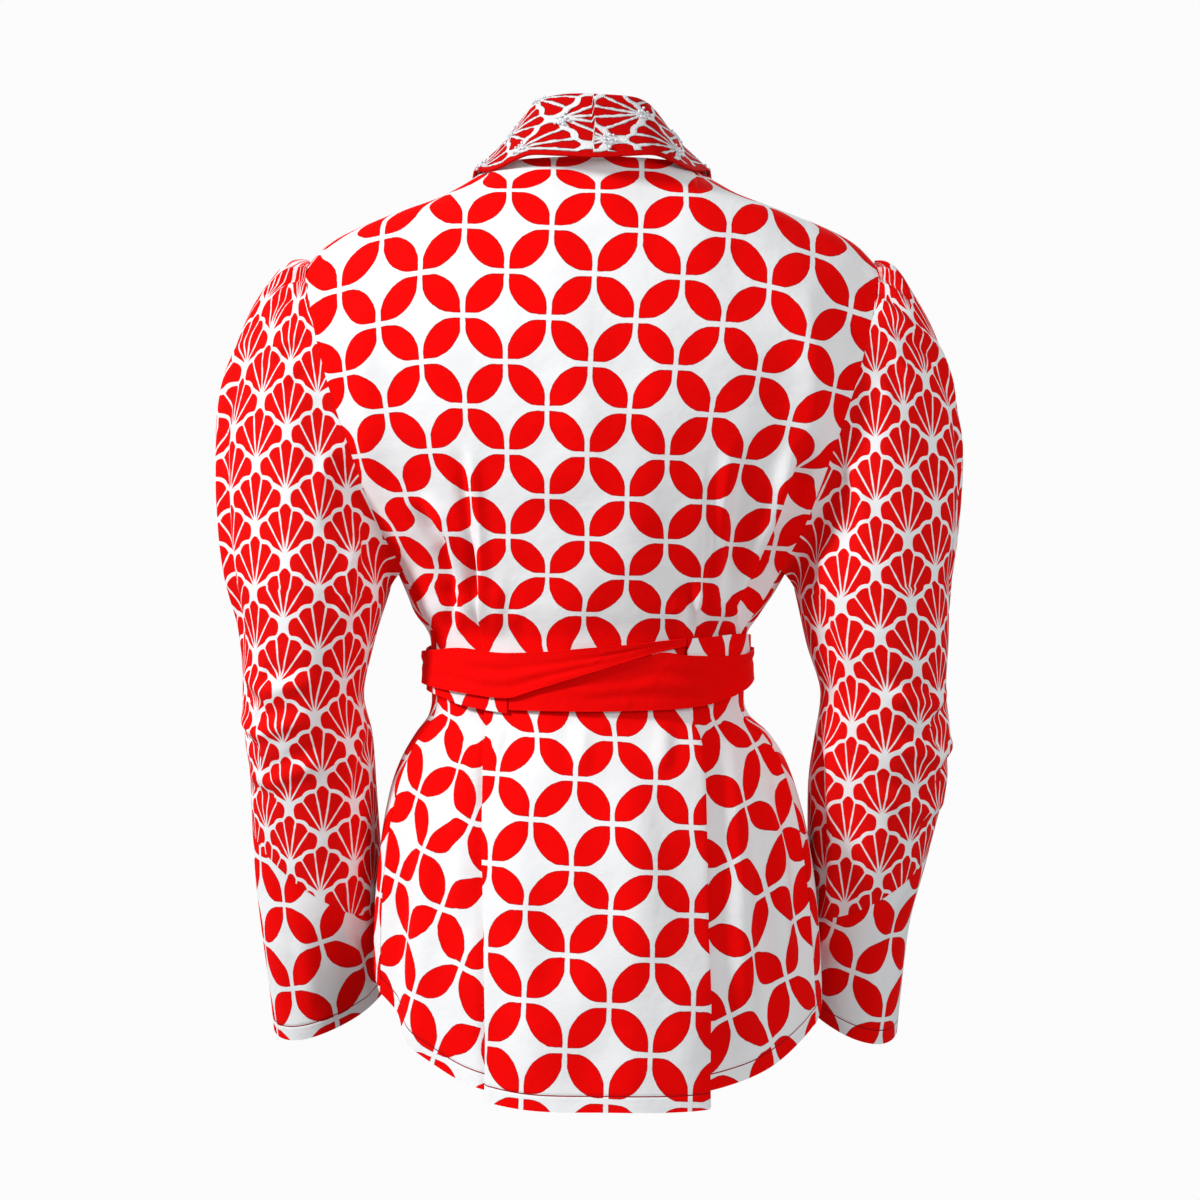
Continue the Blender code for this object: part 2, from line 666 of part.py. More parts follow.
def tail_sheet(side):
    """One hanging end of the ties, lying just off the fronts."""
    grid = []
    for at in (named(TAIL_COLUMNS, row) for row in TAIL):
        height = KNOT[2] - at["down"]
        ring = read_all(TRUNK, TRUNK_COLUMNS, height, "height")
        reach = max(ring["front"], SASH_FRONT) + TAIL_LIFT + (TAIL_STEP if side > 0 else 0)
        line = []
        for k in (-1, 0, 1):
            x = side * at["across"] + KNOT[0] + k * at["half"]
            bend = sqrt(1 - (x / (ring["half"] + 0.02)) ** 2)
            line.append(Vector((x, -reach * bend, height)))
        grid.append(line)
    return grid


def knot(finish):
    bpy.ops.mesh.primitive_uv_sphere_add(segments=14, ring_count=8, radius=1, location=KNOT)
    made = bpy.context.object
    made.name = "sash_knot"
    made.data.name = "sash_knot"
    made.scale = KNOT_SIZE
    bpy.ops.object.transform_apply(location=False, rotation=False, scale=True)
    made.data.materials.append(finish)
    for owner in list(made.users_collection):
        owner.objects.unlink(made)
    garment.objects.link(made)


# ---------------------------------------------------------------- the blouse

for thing in list(bpy.data.objects):
    bpy.data.objects.remove(thing, do_unlink=True)
garment = bpy.data.collections.new("kebaya_blouse")
bpy.context.scene.collection.children.link(garment)

petal_cotton = material("petal_cotton", (0.90, 0.62, 0.60))
shell_cotton = material("shell_cotton", (0.72, 0.06, 0.05))
beaded_shell = material("beaded_shell", (0.80, 0.25, 0.24), 0.70)
red_cotton = material("red_cotton", (0.76, 0.01, 0.01))

cloth("back", back_sheet(), WALL, petal_cotton)
cloth("front_left", front_sheet(1), WALL, petal_cotton)
cloth("front_right", front_sheet(-1), WALL, petal_cotton)
for side_name, side_sign, rings in (("left", 1, LEFT_RINGS), ("right", -1, RIGHT_RINGS)):
    cloth("sleeve_" + side_name, sleeve_sheet(rings, side_sign), WALL, shell_cotton, True)
    cloth("cuff_" + side_name, cuff_sheet(rings, side_sign), WALL, petal_cotton, True)
cloth("collar", collar_sheet(), COLLAR_WALL, beaded_shell)
cloth("sash_panel", band_sheet(OBI, 29.2, 322.6, 38, 2), WALL, petal_cotton)
cloth("upper_tie", band_sheet(UPPER_TIE, -36.9, 170.5, 30), WALL, red_cotton)
cloth("lower_tie", band_sheet(LOWER_TIE, 28.6, -170.5, 30), WALL, red_cotton)
cloth("tail_left", tail_sheet(1), WALL, red_cotton)
cloth("tail_right", tail_sheet(-1), WALL, red_cotton)
knot(red_cotton)
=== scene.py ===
"""Looks of the worn kebaya blouse: printed cotton with its pleats, gathers and creases.

Metres, +Z up, the wearer facing -Y with the left hand at +X. The cut follows the same tables
as the solids, with finer cloth, and every crease is placed one by one.
"""

from math import cos, degrees, exp, pi, radians, sin, sqrt

import bpy
import numpy as np
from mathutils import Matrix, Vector


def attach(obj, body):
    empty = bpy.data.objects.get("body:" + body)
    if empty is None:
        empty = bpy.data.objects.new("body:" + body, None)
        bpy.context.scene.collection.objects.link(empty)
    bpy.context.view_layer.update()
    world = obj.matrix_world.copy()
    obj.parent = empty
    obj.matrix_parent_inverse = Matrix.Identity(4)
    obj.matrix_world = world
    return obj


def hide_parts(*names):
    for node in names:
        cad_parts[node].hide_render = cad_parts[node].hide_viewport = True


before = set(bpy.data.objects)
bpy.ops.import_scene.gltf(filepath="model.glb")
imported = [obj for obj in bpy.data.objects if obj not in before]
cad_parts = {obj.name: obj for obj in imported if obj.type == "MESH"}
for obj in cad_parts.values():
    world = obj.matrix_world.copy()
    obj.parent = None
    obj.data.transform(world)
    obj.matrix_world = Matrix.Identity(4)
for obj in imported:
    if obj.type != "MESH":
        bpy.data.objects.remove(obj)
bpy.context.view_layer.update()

# ---------------------------------------------------------------- sizes
WALL = 0.0012
COLLAR_WALL = 0.0016         # doubled cloth under the embroidery
SEAM_GAP = 0.0006
RIDGE_GAP = 0.0010           # half the gap along a shoulder seam
SEAM_STEP = 0.0002           # from the armhole to the sleeve head
NECK_HALF = 0.075
NECK_PART = 0.303            # share of the way round at which the neckline meets the shoulder
NECK_BACK = (0.060, 0.005)   # the neckline at the centre back: how far behind, how high
SHOULDER_TOP = 0.002
SHOULDER_HALF = 0.2075
SHOULDER_TURN = radians(60)
FRONT_FALL = 0.032           # from the shoulder line to the first row of a front
UNDERARM = -0.292
RIB_LINE = -0.330            # ring below the underarm that the upper rows run into
SIDE_SEAM = radians(74)
HEM_LOW = -0.6755
HEM_RISE = 0.082
HEM_HIGH = radians(98)
HEM_LEAN = 0.013
STITCH_UP = 0.0115           # stitch line above a hem
PLEAT_PLY = 0.0021
PLY_LOOSE = 1.5              # the plies stand this many times their pitch apart
PLEAT_DEPTH = 0.012
WAIST_SHIFT = 0.003
KNOT = (-0.002, -0.1120, -0.3615)

# ---------------------------------------------------------------- the cut
TRUNK_COLUMNS = ("height", "half", "back", "front", "shift")
TRUNK = (
    (-0.292, 0.1430, 0.0940, 0.1180, 0.0000),
    (-0.310, 0.1340, 0.0895, 0.1110, 0.0010),
    (-0.325, 0.1255, 0.0855, 0.1020, 0.0030),
    (-0.335, 0.1182, 0.0822, 0.0962, 0.0030),
    (-0.342, 0.1152, 0.0804, 0.0956, 0.0030),
    (-0.358, 0.1140, 0.0790, 0.0955, 0.0030),
    (-0.388, 0.1140, 0.0790, 0.0955, 0.0030),
    (-0.398, 0.1165, 0.0805, 0.0960, 0.0025),
    (-0.412, 0.1290, 0.0850, 0.0990, 0.0000),
    (-0.430, 0.1400, 0.0920, 0.1040, -0.0010),
    (-0.455, 0.1490, 0.0990, 0.1090, -0.0015),
    (-0.495, 0.1570, 0.1080, 0.1150, -0.0020),
    (-0.545, 0.1620, 0.1160, 0.1200, -0.0030),
    (-0.600, 0.1640, 0.1220, 0.1240, -0.0040),
    (-0.680, 0.1660, 0.1280, 0.1280, -0.0040),
)
LINE_COLUMNS = ("out", "height")
SHOULDER_LINE = (
    (0.0750, 0.0020),
    (0.1100, -0.0185),
    (0.1450, -0.0315),
    (0.1750, -0.0440),
    (0.1940, -0.0550),
    (0.2075, -0.0690),
)
ROW_COLUMNS = ("mid_z", "arm_z", "arm_x", "mid_y", "arm_y", "turn", "swell")
BACK_ROWS = (
    (-0.020, -0.083, 0.2085, 0.068, 0.024, 60, 2.0),
    (-0.055, -0.105, 0.2040, 0.086, 0.042, 60, 1.3),
    (-0.095, -0.134, 0.1970, 0.098, 0.055, 60, 1.1),
    (-0.137, -0.166, 0.1880, 0.105, 0.061, 60, 1.0),
    (-0.180, -0.200, 0.1765, 0.107, 0.060, 61, 1.0),
    (-0.222, -0.233, 0.1650, 0.104, 0.051, 64, 1.0),
    (-0.260, -0.264, 0.1530, 0.099, 0.038, 69, 1.0),
)
FRONT_ROWS = (
    (-0.030, -0.085, 0.2070, 0.040, 0.016, 60, 1.2),
    (-0.068, -0.107, 0.1990, 0.072, 0.034, 60, 1.1),
    (-0.108, -0.136, 0.1890, 0.094, 0.047, 60, 1.0),
    (-0.148, -0.168, 0.1790, 0.110, 0.054, 62, 1.0),
    (-0.188, -0.202, 0.1690, 0.121, 0.055, 64, 1.0),
    (-0.226, -0.235, 0.1590, 0.124, 0.046, 70, 1.0),
    (-0.262, -0.265, 0.1490, 0.122, 0.016, 88, 1.0),
)
EDGE_COLUMNS = ("height", "edge")
FRONT_EDGE = (
    (0.002, 0.0750),
    (-0.060, 0.0640),
    (-0.150, 0.0430),
    (-0.240, 0.0200),
    (-0.300, 0.0040),
    (-0.340, 0.0015),
    (-0.410, 0.0015),
    (-0.520, 0.0100),
    (-0.680, 0.0260),
)
PLEAT_COLUMNS = ("height", "edge", "proud", "folded")
PLEAT = (
    (0.010, 0.0750, 0.00, 0.0),
    (-0.200, 0.0850, 0.00, 0.0),
    (-0.270, 0.0830, 0.60, 0.0),
    (-0.320, 0.0800, 1.00, 0.3),
    (-0.350, 0.0770, 0.80, 0.5),
    (-0.390, 0.0770, 0.80, 0.5),
    (-0.430, 0.0790, 1.00, 1.0),
    (-0.700, 0.0790, 1.00, 1.0),
)
FOLD_COLUMNS = ("across", "plies", "open_across")
FOLD = (
    (0.00, 0.00, -0.55),
    (0.10, 0.15, -0.42),
    (0.14, 0.50, -0.32),
    (0.10, 0.85, -0.22),
    (0.00, 1.00, -0.12),
    (-0.88, 1.00, 0.12),
    (-0.98, 1.15, 0.22),
    (-1.02, 1.50, 0.32),
    (-0.98, 1.85, 0.42),
    (-0.88, 2.00, 0.55),
)
RING_COLUMNS = ("out_x", "height", "in_x", "rise_in", "lead", "deep", "tip")
LEFT_RINGS = (
    (0.2660, -0.298, 0.1490, -0.010, -0.004, 0.066, 0.004),
    (0.2575, -0.338, 0.1600, -0.008, -0.003, 0.063, 0.005),
    (0.2555, -0.378, 0.1690, -0.006, 0.000, 0.058, 0.006),
    (0.2555, -0.412, 0.1630, -0.002, 0.008, 0.057, 0.010),
    (0.2525, -0.442, 0.1595, -0.014, 0.021, 0.056, 0.016),
    (0.2525, -0.480, 0.1570, -0.062, 0.042, 0.054, 0.019),
    (0.2480, -0.556, 0.1560, -0.010, 0.062, 0.051, 0.019),
    (0.2400, -0.636, 0.1550, 0.034, 0.085, 0.048, 0.017),
)
RIGHT_RINGS = (
    (0.2625, -0.298, 0.1490, -0.010, -0.004, 0.066, 0.004),
    (0.2610, -0.338, 0.1580, -0.008, -0.003, 0.063, 0.005),
    (0.2590, -0.378, 0.1690, -0.006, 0.000, 0.058, 0.006),
    (0.2625, -0.412, 0.1655, -0.002, 0.008, 0.057, 0.010),
    (0.2625, -0.442, 0.1610, -0.014, 0.021, 0.056, 0.016),
    (0.2510, -0.494, 0.1600, -0.048, 0.042, 0.054, 0.019),
    (0.2370, -0.556, 0.1585, -0.010, 0.062, 0.051, 0.019),
    (0.2300, -0.638, 0.1570, 0.029, 0.085, 0.048, 0.017),
)
CUFF_RING = 5
# Pull of the cloth at the armhole, away from the body and up, and into the first ring, away
# and down, for the top, back, underarm and front of a sleeve.
LEFT_HEAD = (
    (0.038, 0.006, 0.024, 0.148),
    (0.032, -0.002, 0.000, 0.080),
    (0.004, -0.004, 0.000, 0.006),
    (0.032, -0.002, 0.000, 0.080),
)
RIGHT_HEAD = (
    (0.025, 0.002, 0.026, 0.148),
    (0.030, -0.002, 0.000, 0.080),
    (0.004, -0.004, 0.000, 0.006),
    (0.030, -0.002, 0.000, 0.080),
)
COLLAR_COLUMNS = ("seam_x", "seam_y", "seam_z", "roll_x", "roll_y", "roll_z",
                  "edge_x", "edge_y", "edge_z")
COLLAR = (
    (0.000, 0.0605, 0.0076, 0.000, 0.0540, 0.0490, 0.000, 0.0790, 0.0052),
    (0.027, 0.0565, 0.0076, 0.022, 0.0500, 0.0488, 0.032, 0.0735, 0.0045),
    (0.050, 0.0445, 0.0072, 0.038, 0.0360, 0.0455, 0.057, 0.0570, 0.0015),
    (0.066, 0.0255, 0.0064, 0.046, 0.0160, 0.0390, 0.074, 0.0330, -0.0020),
    (0.0742, 0.0015, 0.0056, 0.0510, -0.008, 0.0300, 0.086, 0.0020, 0.0008),
)
LAPEL_COLUMNS = ("row", "width", "stand", "lean")
LAPEL = (
    (0.30, 0.015, 0.0200, 0.0190),
    (0.60, 0.021, 0.0165, 0.0145),
    (0.90, 0.028, 0.0130, 0.0100),
    (1.25, 0.036, 0.0090, 0.0060),
    (1.70, 0.044, 0.0050, 0.0025),
    (2.30, 0.050, 0.0015, 0.0005),
    (3.10, 0.054, 0.0000, 0.0000),
    (3.90, 0.054, 0.0000, 0.0000),
    (4.70, 0.051, 0.0000, 0.0000),
    (5.50, 0.046, 0.0000, 0.0000),
    (6.30, 0.040, 0.0000, 0.0000),
    (7.10, 0.033, 0.0000, 0.0000),
    (7.90, 0.025, 0.0000, 0.0000),
)
LAPEL_LIFT = 0.0030
FRONT_TRIM = 0.0025
# Arch of a lapel: share of its width, share of its stand and share of its lean.
ARCH = (
    (0.00, 0.00, 0.00),
    (0.03, 0.55, 0.50),
    (0.07, 0.95, 0.97),
    (0.12, 1.00, 1.00),
    (0.30, 0.74, 0.66),
    (0.60, 0.36, 0.26),
    (1.00, 0.00, 0.00),
)
BAND_COLUMNS = ("angle", "top", "bottom", "out")
SASH_PANEL = (
    (29.2, -0.3545, -0.3960, 0.0022),
    (50.0, -0.3520, -0.3905, 0.0022),
    (70.0, -0.3510, -0.3830, 0.0022),
    (90.0, -0.3500, -0.3800, 0.0022),
    (130.0, -0.3420, -0.3880, 0.0024),
    (180.0, -0.3385, -0.3920, 0.0030),
    (230.0, -0.3390, -0.3880, 0.0030),
    (270.0, -0.3400, -0.3720, 0.0030),
    (290.0, -0.3390, -0.3760, 0.0030),
    (310.0, -0.3410, -0.3840, 0.0024),
    (322.6, -0.3425, -0.3880, 0.0022),
)
UPPER_TIE = (
    (-36.9, -0.3425, -0.3478, 0.0020),
    (-27.0, -0.3440, -0.3512, 0.0028),
    (-18.0, -0.3460, -0.3560, 0.0042),
    (0.0, -0.3490, -0.3675, 0.0052),
    (18.0, -0.3520, -0.3790, 0.0052),
    (29.0, -0.3525, -0.3850, 0.0052),
    (50.0, -0.3490, -0.3810, 0.0052),
    (70.0, -0.3510, -0.3775, 0.0052),
    (90.0, -0.3520, -0.3750, 0.0052),
    (130.0, -0.3500, -0.3740, 0.0052),
    (170.5, -0.3530, -0.3700, 0.0052),
)
LOWER_TIE = (
    (28.6, -0.3545, -0.3935, 0.0020),
    (18.0, -0.3570, -0.3940, 0.0020),
    (0.0, -0.3615, -0.3945, 0.0022),
    (-18.0, -0.3568, -0.3940, 0.0026),
    (-27.0, -0.3522, -0.3935, 0.0036),
    (-38.0, -0.3545, -0.3920, 0.0048),
    (-50.0, -0.3550, -0.3885, 0.0052),
    (-70.0, -0.3540, -0.3800, 0.0052),
    (-90.0, -0.3495, -0.3720, 0.0052),
    (-130.0, -0.3480, -0.3720, 0.0052),
    (-170.5, -0.3530, -0.3700, 0.0052),
)
WAIST = (0.1160, 0.0812, 0.0980)
KNOT_SIZE = (0.0170, 0.0095, 0.0135)
TAIL_COLUMNS = ("down", "across", "half")
TAIL = (
    (0.018, 0.006, 0.008),
    (0.045, 0.012, 0.013),
    (0.090, 0.018, 0.016),
    (0.140, 0.022, 0.017),
    (0.190, 0.024, 0.017),
)
TAIL_LIFT = 0.010
TAIL_STEP = 0.0024
SASH_FRONT = 0.1040

# ---------------------------------------------------------------- the prints
# Petal print down the back: rows of flowers counted from the nape, how wide one flower is,
# and where the middle column of flowers runs.
PETAL_COLUMNS = ("height", "rows", "width", "middle")
PETAL_DOWN = (
    (0.030, -1.5, 0.0640, -0.0043),
    (-0.0041, -0.5, 0.0640, -0.0043),
    (-0.0212, 0.0, 0.0640, -0.0043),
    (-0.0496, 0.5, 0.0635, -0.0032),
    (-0.0825, 1.0, 0.0630, -0.0020),
    (-0.1475, 2.0, 0.0605, 0.0010),
    (-0.2115, 3.0, 0.0572, 0.0033),
    (-0.271, 4.0, 0.0566, 0.0033),
    (-0.3245, 5.0, 0.0570, 0.0028),
    (-0.345, 5.353, 0.0572, 0.0026),
    (-0.392, 5.652, 0.0562, -0.0170),
    (-0.4132, 6.0, 0.0564, -0.0165),
    (-0.4425, 6.5, 0.0576, -0.0158),
    (-0.4729, 7.0, 0.0580, -0.0130),
    (-0.5057, 7.5, 0.0600, -0.0136),
    (-0.535, 8.0, 0.0603, -0.0105),
    (-0.600, 9.0, 0.0605, -0.0084),
    (-0.700, 10.48, 0.0605, -0.0049),
)
ROW_DROP = (0.038, 0.056)    # slope of the rows down to the right, above and below the sash
SHOULDER_DROP = 0.0145       # how far they drop towards the shoulder tips
SIDE_GRAIN = radians(18)     # the flared side panels are cut with their grain leaning out
SIDE_ROWS = 0.30             # and start this many flowers further down at the waist
WAIST_LINE = -0.370
FLOWER = (0.0605, 0.0680)    # one flower of the print, across and down, where the cloth is flat
FLOWER_SLANT = 0.0455        # from one flower to the next along a slant
PETAL_CENTRE = 0.8650        # middle of the round that cuts a petal's side, in slants
PETAL_ROUND = 0.5880         # and its radius
PETAL_GAP = 0.0018           # half the white bar between two petals
PETAL_CORNER = 0.0014
SHELL = (0.0440, 0.0463)     # one shell of the sleeve print, from one to the next, across and up
COLLAR_SHELL = (0.0440, 0.0480)
SLEEVE_SPREAD = 0.85         # the print runs this much slower than the cloth round an arm
# One fan of a shell, drawn for a shell this tall, in metres from the knot where its ribs meet.
FAN_TALL = 0.0466
FAN_TURN = radians(60)       # half the opening of a fan
FAN_REACH = 0.0356           # from the knot to the edge
FAN_PEAK = (0.0044, 34.0)    # how far the edge rises in the middle, and how soon that ends
FAN_FALL = 0.0092            # and how it falls towards the sides
FAN_NOTCH = 0.0028           # depth of the notches between lobes
FAN_BORDER = 0.0008
LOBES = (3.753, 1.2475)      # lobes to a radian in the middle, and how they widen outwards
PETAL_SHIFT = {"front": (0.25, 0.30), "cuff_left": (0.10, 0.12), "cuff_right": (0.42, 0.30),
               "band": (0.30, 0.20)}
SHELL_SHIFT = {"sleeve_left": (0.0103, -0.0185), "sleeve_right": (-0.0017, 0.0135)}
# Where the embroidery starts on each half of the collar, in from the roll and along it.
COLLAR_SHIFT = ((0.024, 0.019), (0.018, 0.034))

# ---------------------------------------------------------------- fineness of the cloth
BACK_STEPS = (112, 118)      # rows above and below the underarm
BACK_COLUMNS = (26, 26, 32)  # from the centre to a pleat, over the pleat, on to the side seam
PLEAT_COLUMN = sum(BACK_COLUMNS[:2]) - 1    # a pleat's outer side, from the centre back
PLY_COLUMNS = 11             # columns of its top ply, which are cut in one with the side panel
FRONT_STEPS = (84, 84)
FRONT_COLUMNS = 72
SLEEVE_STEPS = (83, 74)      # rows of the head and of the arm
SLEEVE_COLUMNS = 168
CUFF_STEPS = 66
CUFF_COLUMNS = 150
COLLAR_STEPS = 361
COLLAR_SLICES = 43           # from the outer edge over the roll to the neck seam
COLLAR_LENGTH_AT = 20        # the slice on which lengths along the collar are measured
COLLAR_ROLL = 24             # the slice at the roll
FALL_SLICES = 22             # slices that show from outside
TIE_STEPS = 220
SASH_STEPS = 260
BAND_COLUMNS_ACROSS = 17
TAIL_STEPS = 60
TAIL_COLUMNS_ACROSS = 15
KNOT_STEPS = (33, 64)

# ---------------------------------------------------------------- folds
PANEL_ENDS = (               # side, and how far the ends of the centre panel and side panel move up
    (1, -0.0010, 0.0070),
    (-1, -0.0050, 0.0085),
)
EDGE_LIFT = 0.0045           # the collar's edge lies level across the back
EDGE_DROP = 0.0030           # and covers the neck seam
ROLL_ROUND = 0.0028          # how far the collar's roll stands out
COLLAR_STATIONS = (0, 0.7, 1.4, 2, 2.5, 3, 3.5, 4)
# A sleeve's gathers: their count, how deep they are, how far below the armhole they are deepest,
# how far they spread up and down, and round from the top, and where they have run out.
GATHERS = {"count": 26, "deep": 0.0150, "below": 0.014, "long": 0.016, "round": 0.10, "end": 0.030}
BACK_SASH = (-0.368, 0.020)  # middle and half width of the cloth held flat under the sash
FRONT_SASH = (-0.365, 0.026)
BACK_CREASE_SCALE = 1.9
BEAD_RADIUS = 0.00120
BEAD_SIZES = (0.75, 1.15)
BEAD_LIFT = 0.0008
ROSETTE_BEADS = 10
ROSETTE_REACH = 0.0025       # a rosette is left out where no cloth lies this near its place
# Each crease: its line as (across, height) points, half width, how high it stands, and how
# deep the trough beside it is, on the side towards plus across (1) or minus across (-1).
# Across is x on the trunk and the distance round from the middle of the back on a sleeve.
BACK_CREASES = (
    (((0.088, -0.200), (0.083, -0.241), (0.079, -0.287), (0.0765, -0.336)), 0.005, 0.0026, 1.2, 1),
    (((0.124, -0.236), (0.101, -0.270), (0.096, -0.293), (0.090, -0.315), (0.084, -0.341)),
     0.006, 0.0050, 1.0, 1),
    (((0.057, -0.322), (0.0545, -0.350)), 0.004, 0.0016, 0.8, -1),
    (((0.104, -0.300), (0.098, -0.322), (0.096, -0.343)), 0.004, 0.0030, 1.0, 1),
    (((0.068, -0.300), (0.066, -0.322), (0.066, -0.346)), 0.005, 0.0016, 0.7, -1),
    (((-0.100, -0.195), (-0.094, -0.261), (-0.0905, -0.295), (-0.0860, -0.342)),
     0.006, 0.0024, 1.0, -1),
    (((-0.149, -0.192), (-0.140, -0.218), (-0.128, -0.254), (-0.120, -0.273), (-0.110, -0.297),
      (-0.096, -0.327), (-0.088, -0.345)), 0.007, 0.0058, 1.1, -1),
    (((-0.0755, -0.300), (-0.077, -0.345)), 0.004, 0.0020, 0.9, 1),
    (((-0.108, -0.318), (-0.101, -0.345)), 0.004, 0.0026, 1.0, -1),
    (((-0.060, -0.312), (-0.061, -0.345)), 0.005, 0.0014, 0.6, -1),
    (((0.156, -0.080), (0.166, -0.130), (0.163, -0.185), (0.152, -0.235)), 0.012, 0.0024, 0.8, 1),
    (((-0.150, -0.085), (-0.160, -0.135), (-0.158, -0.185), (-0.150, -0.225)), 0.012, 0.0022, 0.8, -1),
    (((0.020, -0.130), (0.010, -0.200), (0.016, -0.260)), 0.020, 0.0010, 0.0, 1),
    (((-0.045, -0.150), (-0.040, -0.215), (-0.030, -0.275)), 0.018, 0.0010, 0.0, 1),
    (((0.110, -0.440), (0.121, -0.520), (0.128, -0.600), (0.130, -0.680)), 0.012, 0.0040, 0.9, 1),
    (((0.086, -0.400), (0.096, -0.470), (0.099, -0.560)), 0.008, 0.0022, 0.8, 1),
    (((-0.098, -0.400), (-0.106, -0.470), (-0.111, -0.560), (-0.112, -0.660)), 0.010, 0.0030, 0.9, -1),
    (((-0.118, -0.420), (-0.134, -0.500), (-0.142, -0.600)), 0.010, 0.0034, 0.9, -1),
    (((0.050, -0.400), (0.052, -0.480), (0.046, -0.600), (0.044, -0.690)), 0.014, 0.0014, 0.5, 1),
    (((-0.030, -0.400), (-0.034, -0.500), (-0.030, -0.690)), 0.016, 0.0014, 0.4, 1),
    (((0.062, -0.396), (0.070, -0.425)), 0.004, 0.0020, 0.8, 1),
    (((0.006, -0.398), (0.008, -0.440)), 0.006, 0.0012, 0.6, 1),
    (((-0.052, -0.398), (-0.050, -0.440)), 0.006, 0.0012, 0.6, -1),
)
FRONT_CREASES = (
    (((0.130, -0.200), (0.105, -0.260), (0.080, -0.310), (0.064, -0.342)), 0.007, 0.0040, 1.0, 1),
    (((0.095, -0.250), (0.072, -0.300), (0.050, -0.340)), 0.006, 0.0028, 0.9, -1),
    (((0.108, -0.300), (0.094, -0.342)), 0.005, 0.0026, 0.9, 1),
    (((0.034, -0.285), (0.030, -0.338)), 0.005, 0.0018, 0.8, 1),
    (((0.060, -0.400), (0.068, -0.480), (0.074, -0.640)), 0.010, 0.0034, 0.9, 1),
    (((0.100, -0.410), (0.114, -0.500), (0.122, -0.620)), 0.010, 0.0034, 0.9, -1),
    (((0.028, -0.400), (0.032, -0.470)), 0.006, 0.0016, 0.8, 1),
    (((0.150, -0.080), (0.160, -0.150), (0.148, -0.230)), 0.012, 0.0022, 0.8, 1),
)
LEFT_SLEEVE_CREASES = (
    (((0.080, -0.098), (0.105, -0.135), (0.104, -0.190), (0.094, -0.222), (0.086, -0.255),
      (0.082, -0.300), (0.078, -0.370)), 0.007, 0.0042, 1.0, -1),
    (((0.055, -0.090), (0.066, -0.118), (0.070, -0.150)), 0.005, 0.0030, 1.0, -1),
    (((0.040, -0.100), (0.046, -0.135), (0.044, -0.170)), 0.005, 0.0022, 0.9, -1),
    (((-0.040, -0.180), (-0.020, -0.215), (-0.012, -0.270)), 0.008, 0.0030, 0.9, -1),
    (((-0.066, -0.255), (-0.040, -0.290), (-0.026, -0.345)), 0.008, 0.0036, 1.0, -1),
    (((0.070, -0.365), (0.030, -0.380), (-0.020, -0.372)), 0.006, 0.0030, 1.0, 1),
    (((0.085, -0.398), (0.040, -0.412), (-0.010, -0.400)), 0.006, 0.0034, 1.0, 1),
    (((0.075, -0.440), (0.030, -0.448), (-0.025, -0.428)), 0.006, 0.0026, 0.9, 1),
    (((-0.070, -0.400), (-0.040, -0.430), (-0.020, -0.470)), 0.006, 0.0026, 1.0, -1),
    (((0.020, -0.500), (0.006, -0.560), (0.010, -0.630)), 0.008, 0.0022, 0.8, 1),
    (((-0.045, -0.490), (-0.030, -0.550), (-0.034, -0.620)), 0.007, 0.0026, 0.9, -1),
    (((0.130, -0.170), (0.145, -0.260), (0.140, -0.360)), 0.010, 0.0030, 0.8, 1),
    (((0.180, -0.330), (0.150, -0.380), (0.120, -0.400)), 0.007, 0.0030, 1.0, 1),
    (((-0.110, -0.330), (-0.140, -0.380), (-0.150, -0.440)), 0.007, 0.0030, 1.0, 1),
)
RIGHT_SLEEVE_CREASES = (
    (((0.060, -0.092), (0.086, -0.112), (0.104, -0.134), (0.108, -0.180)), 0.006, 0.0036, 1.0, -1),
    (((0.108, -0.150), (0.112, -0.220), (0.110, -0.300), (0.106, -0.370)), 0.008, 0.0034, 1.0, -1),
    (((0.045, -0.096), (0.058, -0.128), (0.062, -0.165)), 0.005, 0.0026, 1.0, -1),
    (((0.030, -0.105), (0.036, -0.140), (0.030, -0.180)), 0.005, 0.0020, 0.9, 1),
    (((-0.038, -0.190), (-0.018, -0.230), (-0.008, -0.290)), 0.008, 0.0030, 0.9, -1),
    (((-0.060, -0.270), (-0.036, -0.310), (-0.024, -0.365)), 0.008, 0.0034, 1.0, -1),
    (((0.080, -0.380), (0.040, -0.392), (-0.010, -0.380)), 0.006, 0.0032, 1.0, 1),
    (((0.092, -0.415), (0.050, -0.430), (-0.002, -0.418)), 0.006, 0.0034, 1.0, 1),
    (((0.080, -0.460), (0.036, -0.470), (-0.020, -0.450)), 0.006, 0.0024, 0.9, 1),
    (((-0.066, -0.390), (-0.044, -0.440), (-0.040, -0.500), (-0.040, -0.600)), 0.007, 0.0044, 1.2, -1),
    (((0.026, -0.510), (0.010, -0.570), (0.014, -0.630)), 0.008, 0.0022, 0.8, 1),
    (((0.130, -0.170), (0.142, -0.260), (0.138, -0.360)), 0.010, 0.0030, 0.8, 1),
    (((0.176, -0.340), (0.150, -0.385), (0.118, -0.405)), 0.007, 0.0030, 1.0, 1),
    (((-0.108, -0.340), (-0.138, -0.390), (-0.146, -0.450)), 0.007, 0.0030, 1.0, 1),
)
# Creases along the ties: (angle, share of the width from the top) points.
CREASE_ANGLE = 60            # angle that counts as much as the whole width
TIE_CREASES = (
    (((-30, 0.30), (-5, 0.42), (25, 0.35), (55, 0.50)), 0.10, 0.0007, 0.8, 1),
    (((-10, 0.75), (15, 0.70), (40, 0.78), (75, 0.62)), 0.09, 0.0008, 0.9, 1),
    (((60, 0.25), (100, 0.40), (150, 0.30)), 0.10, 0.0008, 0.9, 1),
    (((85, 0.75), (125, 0.60), (165, 0.72)), 0.10, 0.0008, 0.9, 1),
)

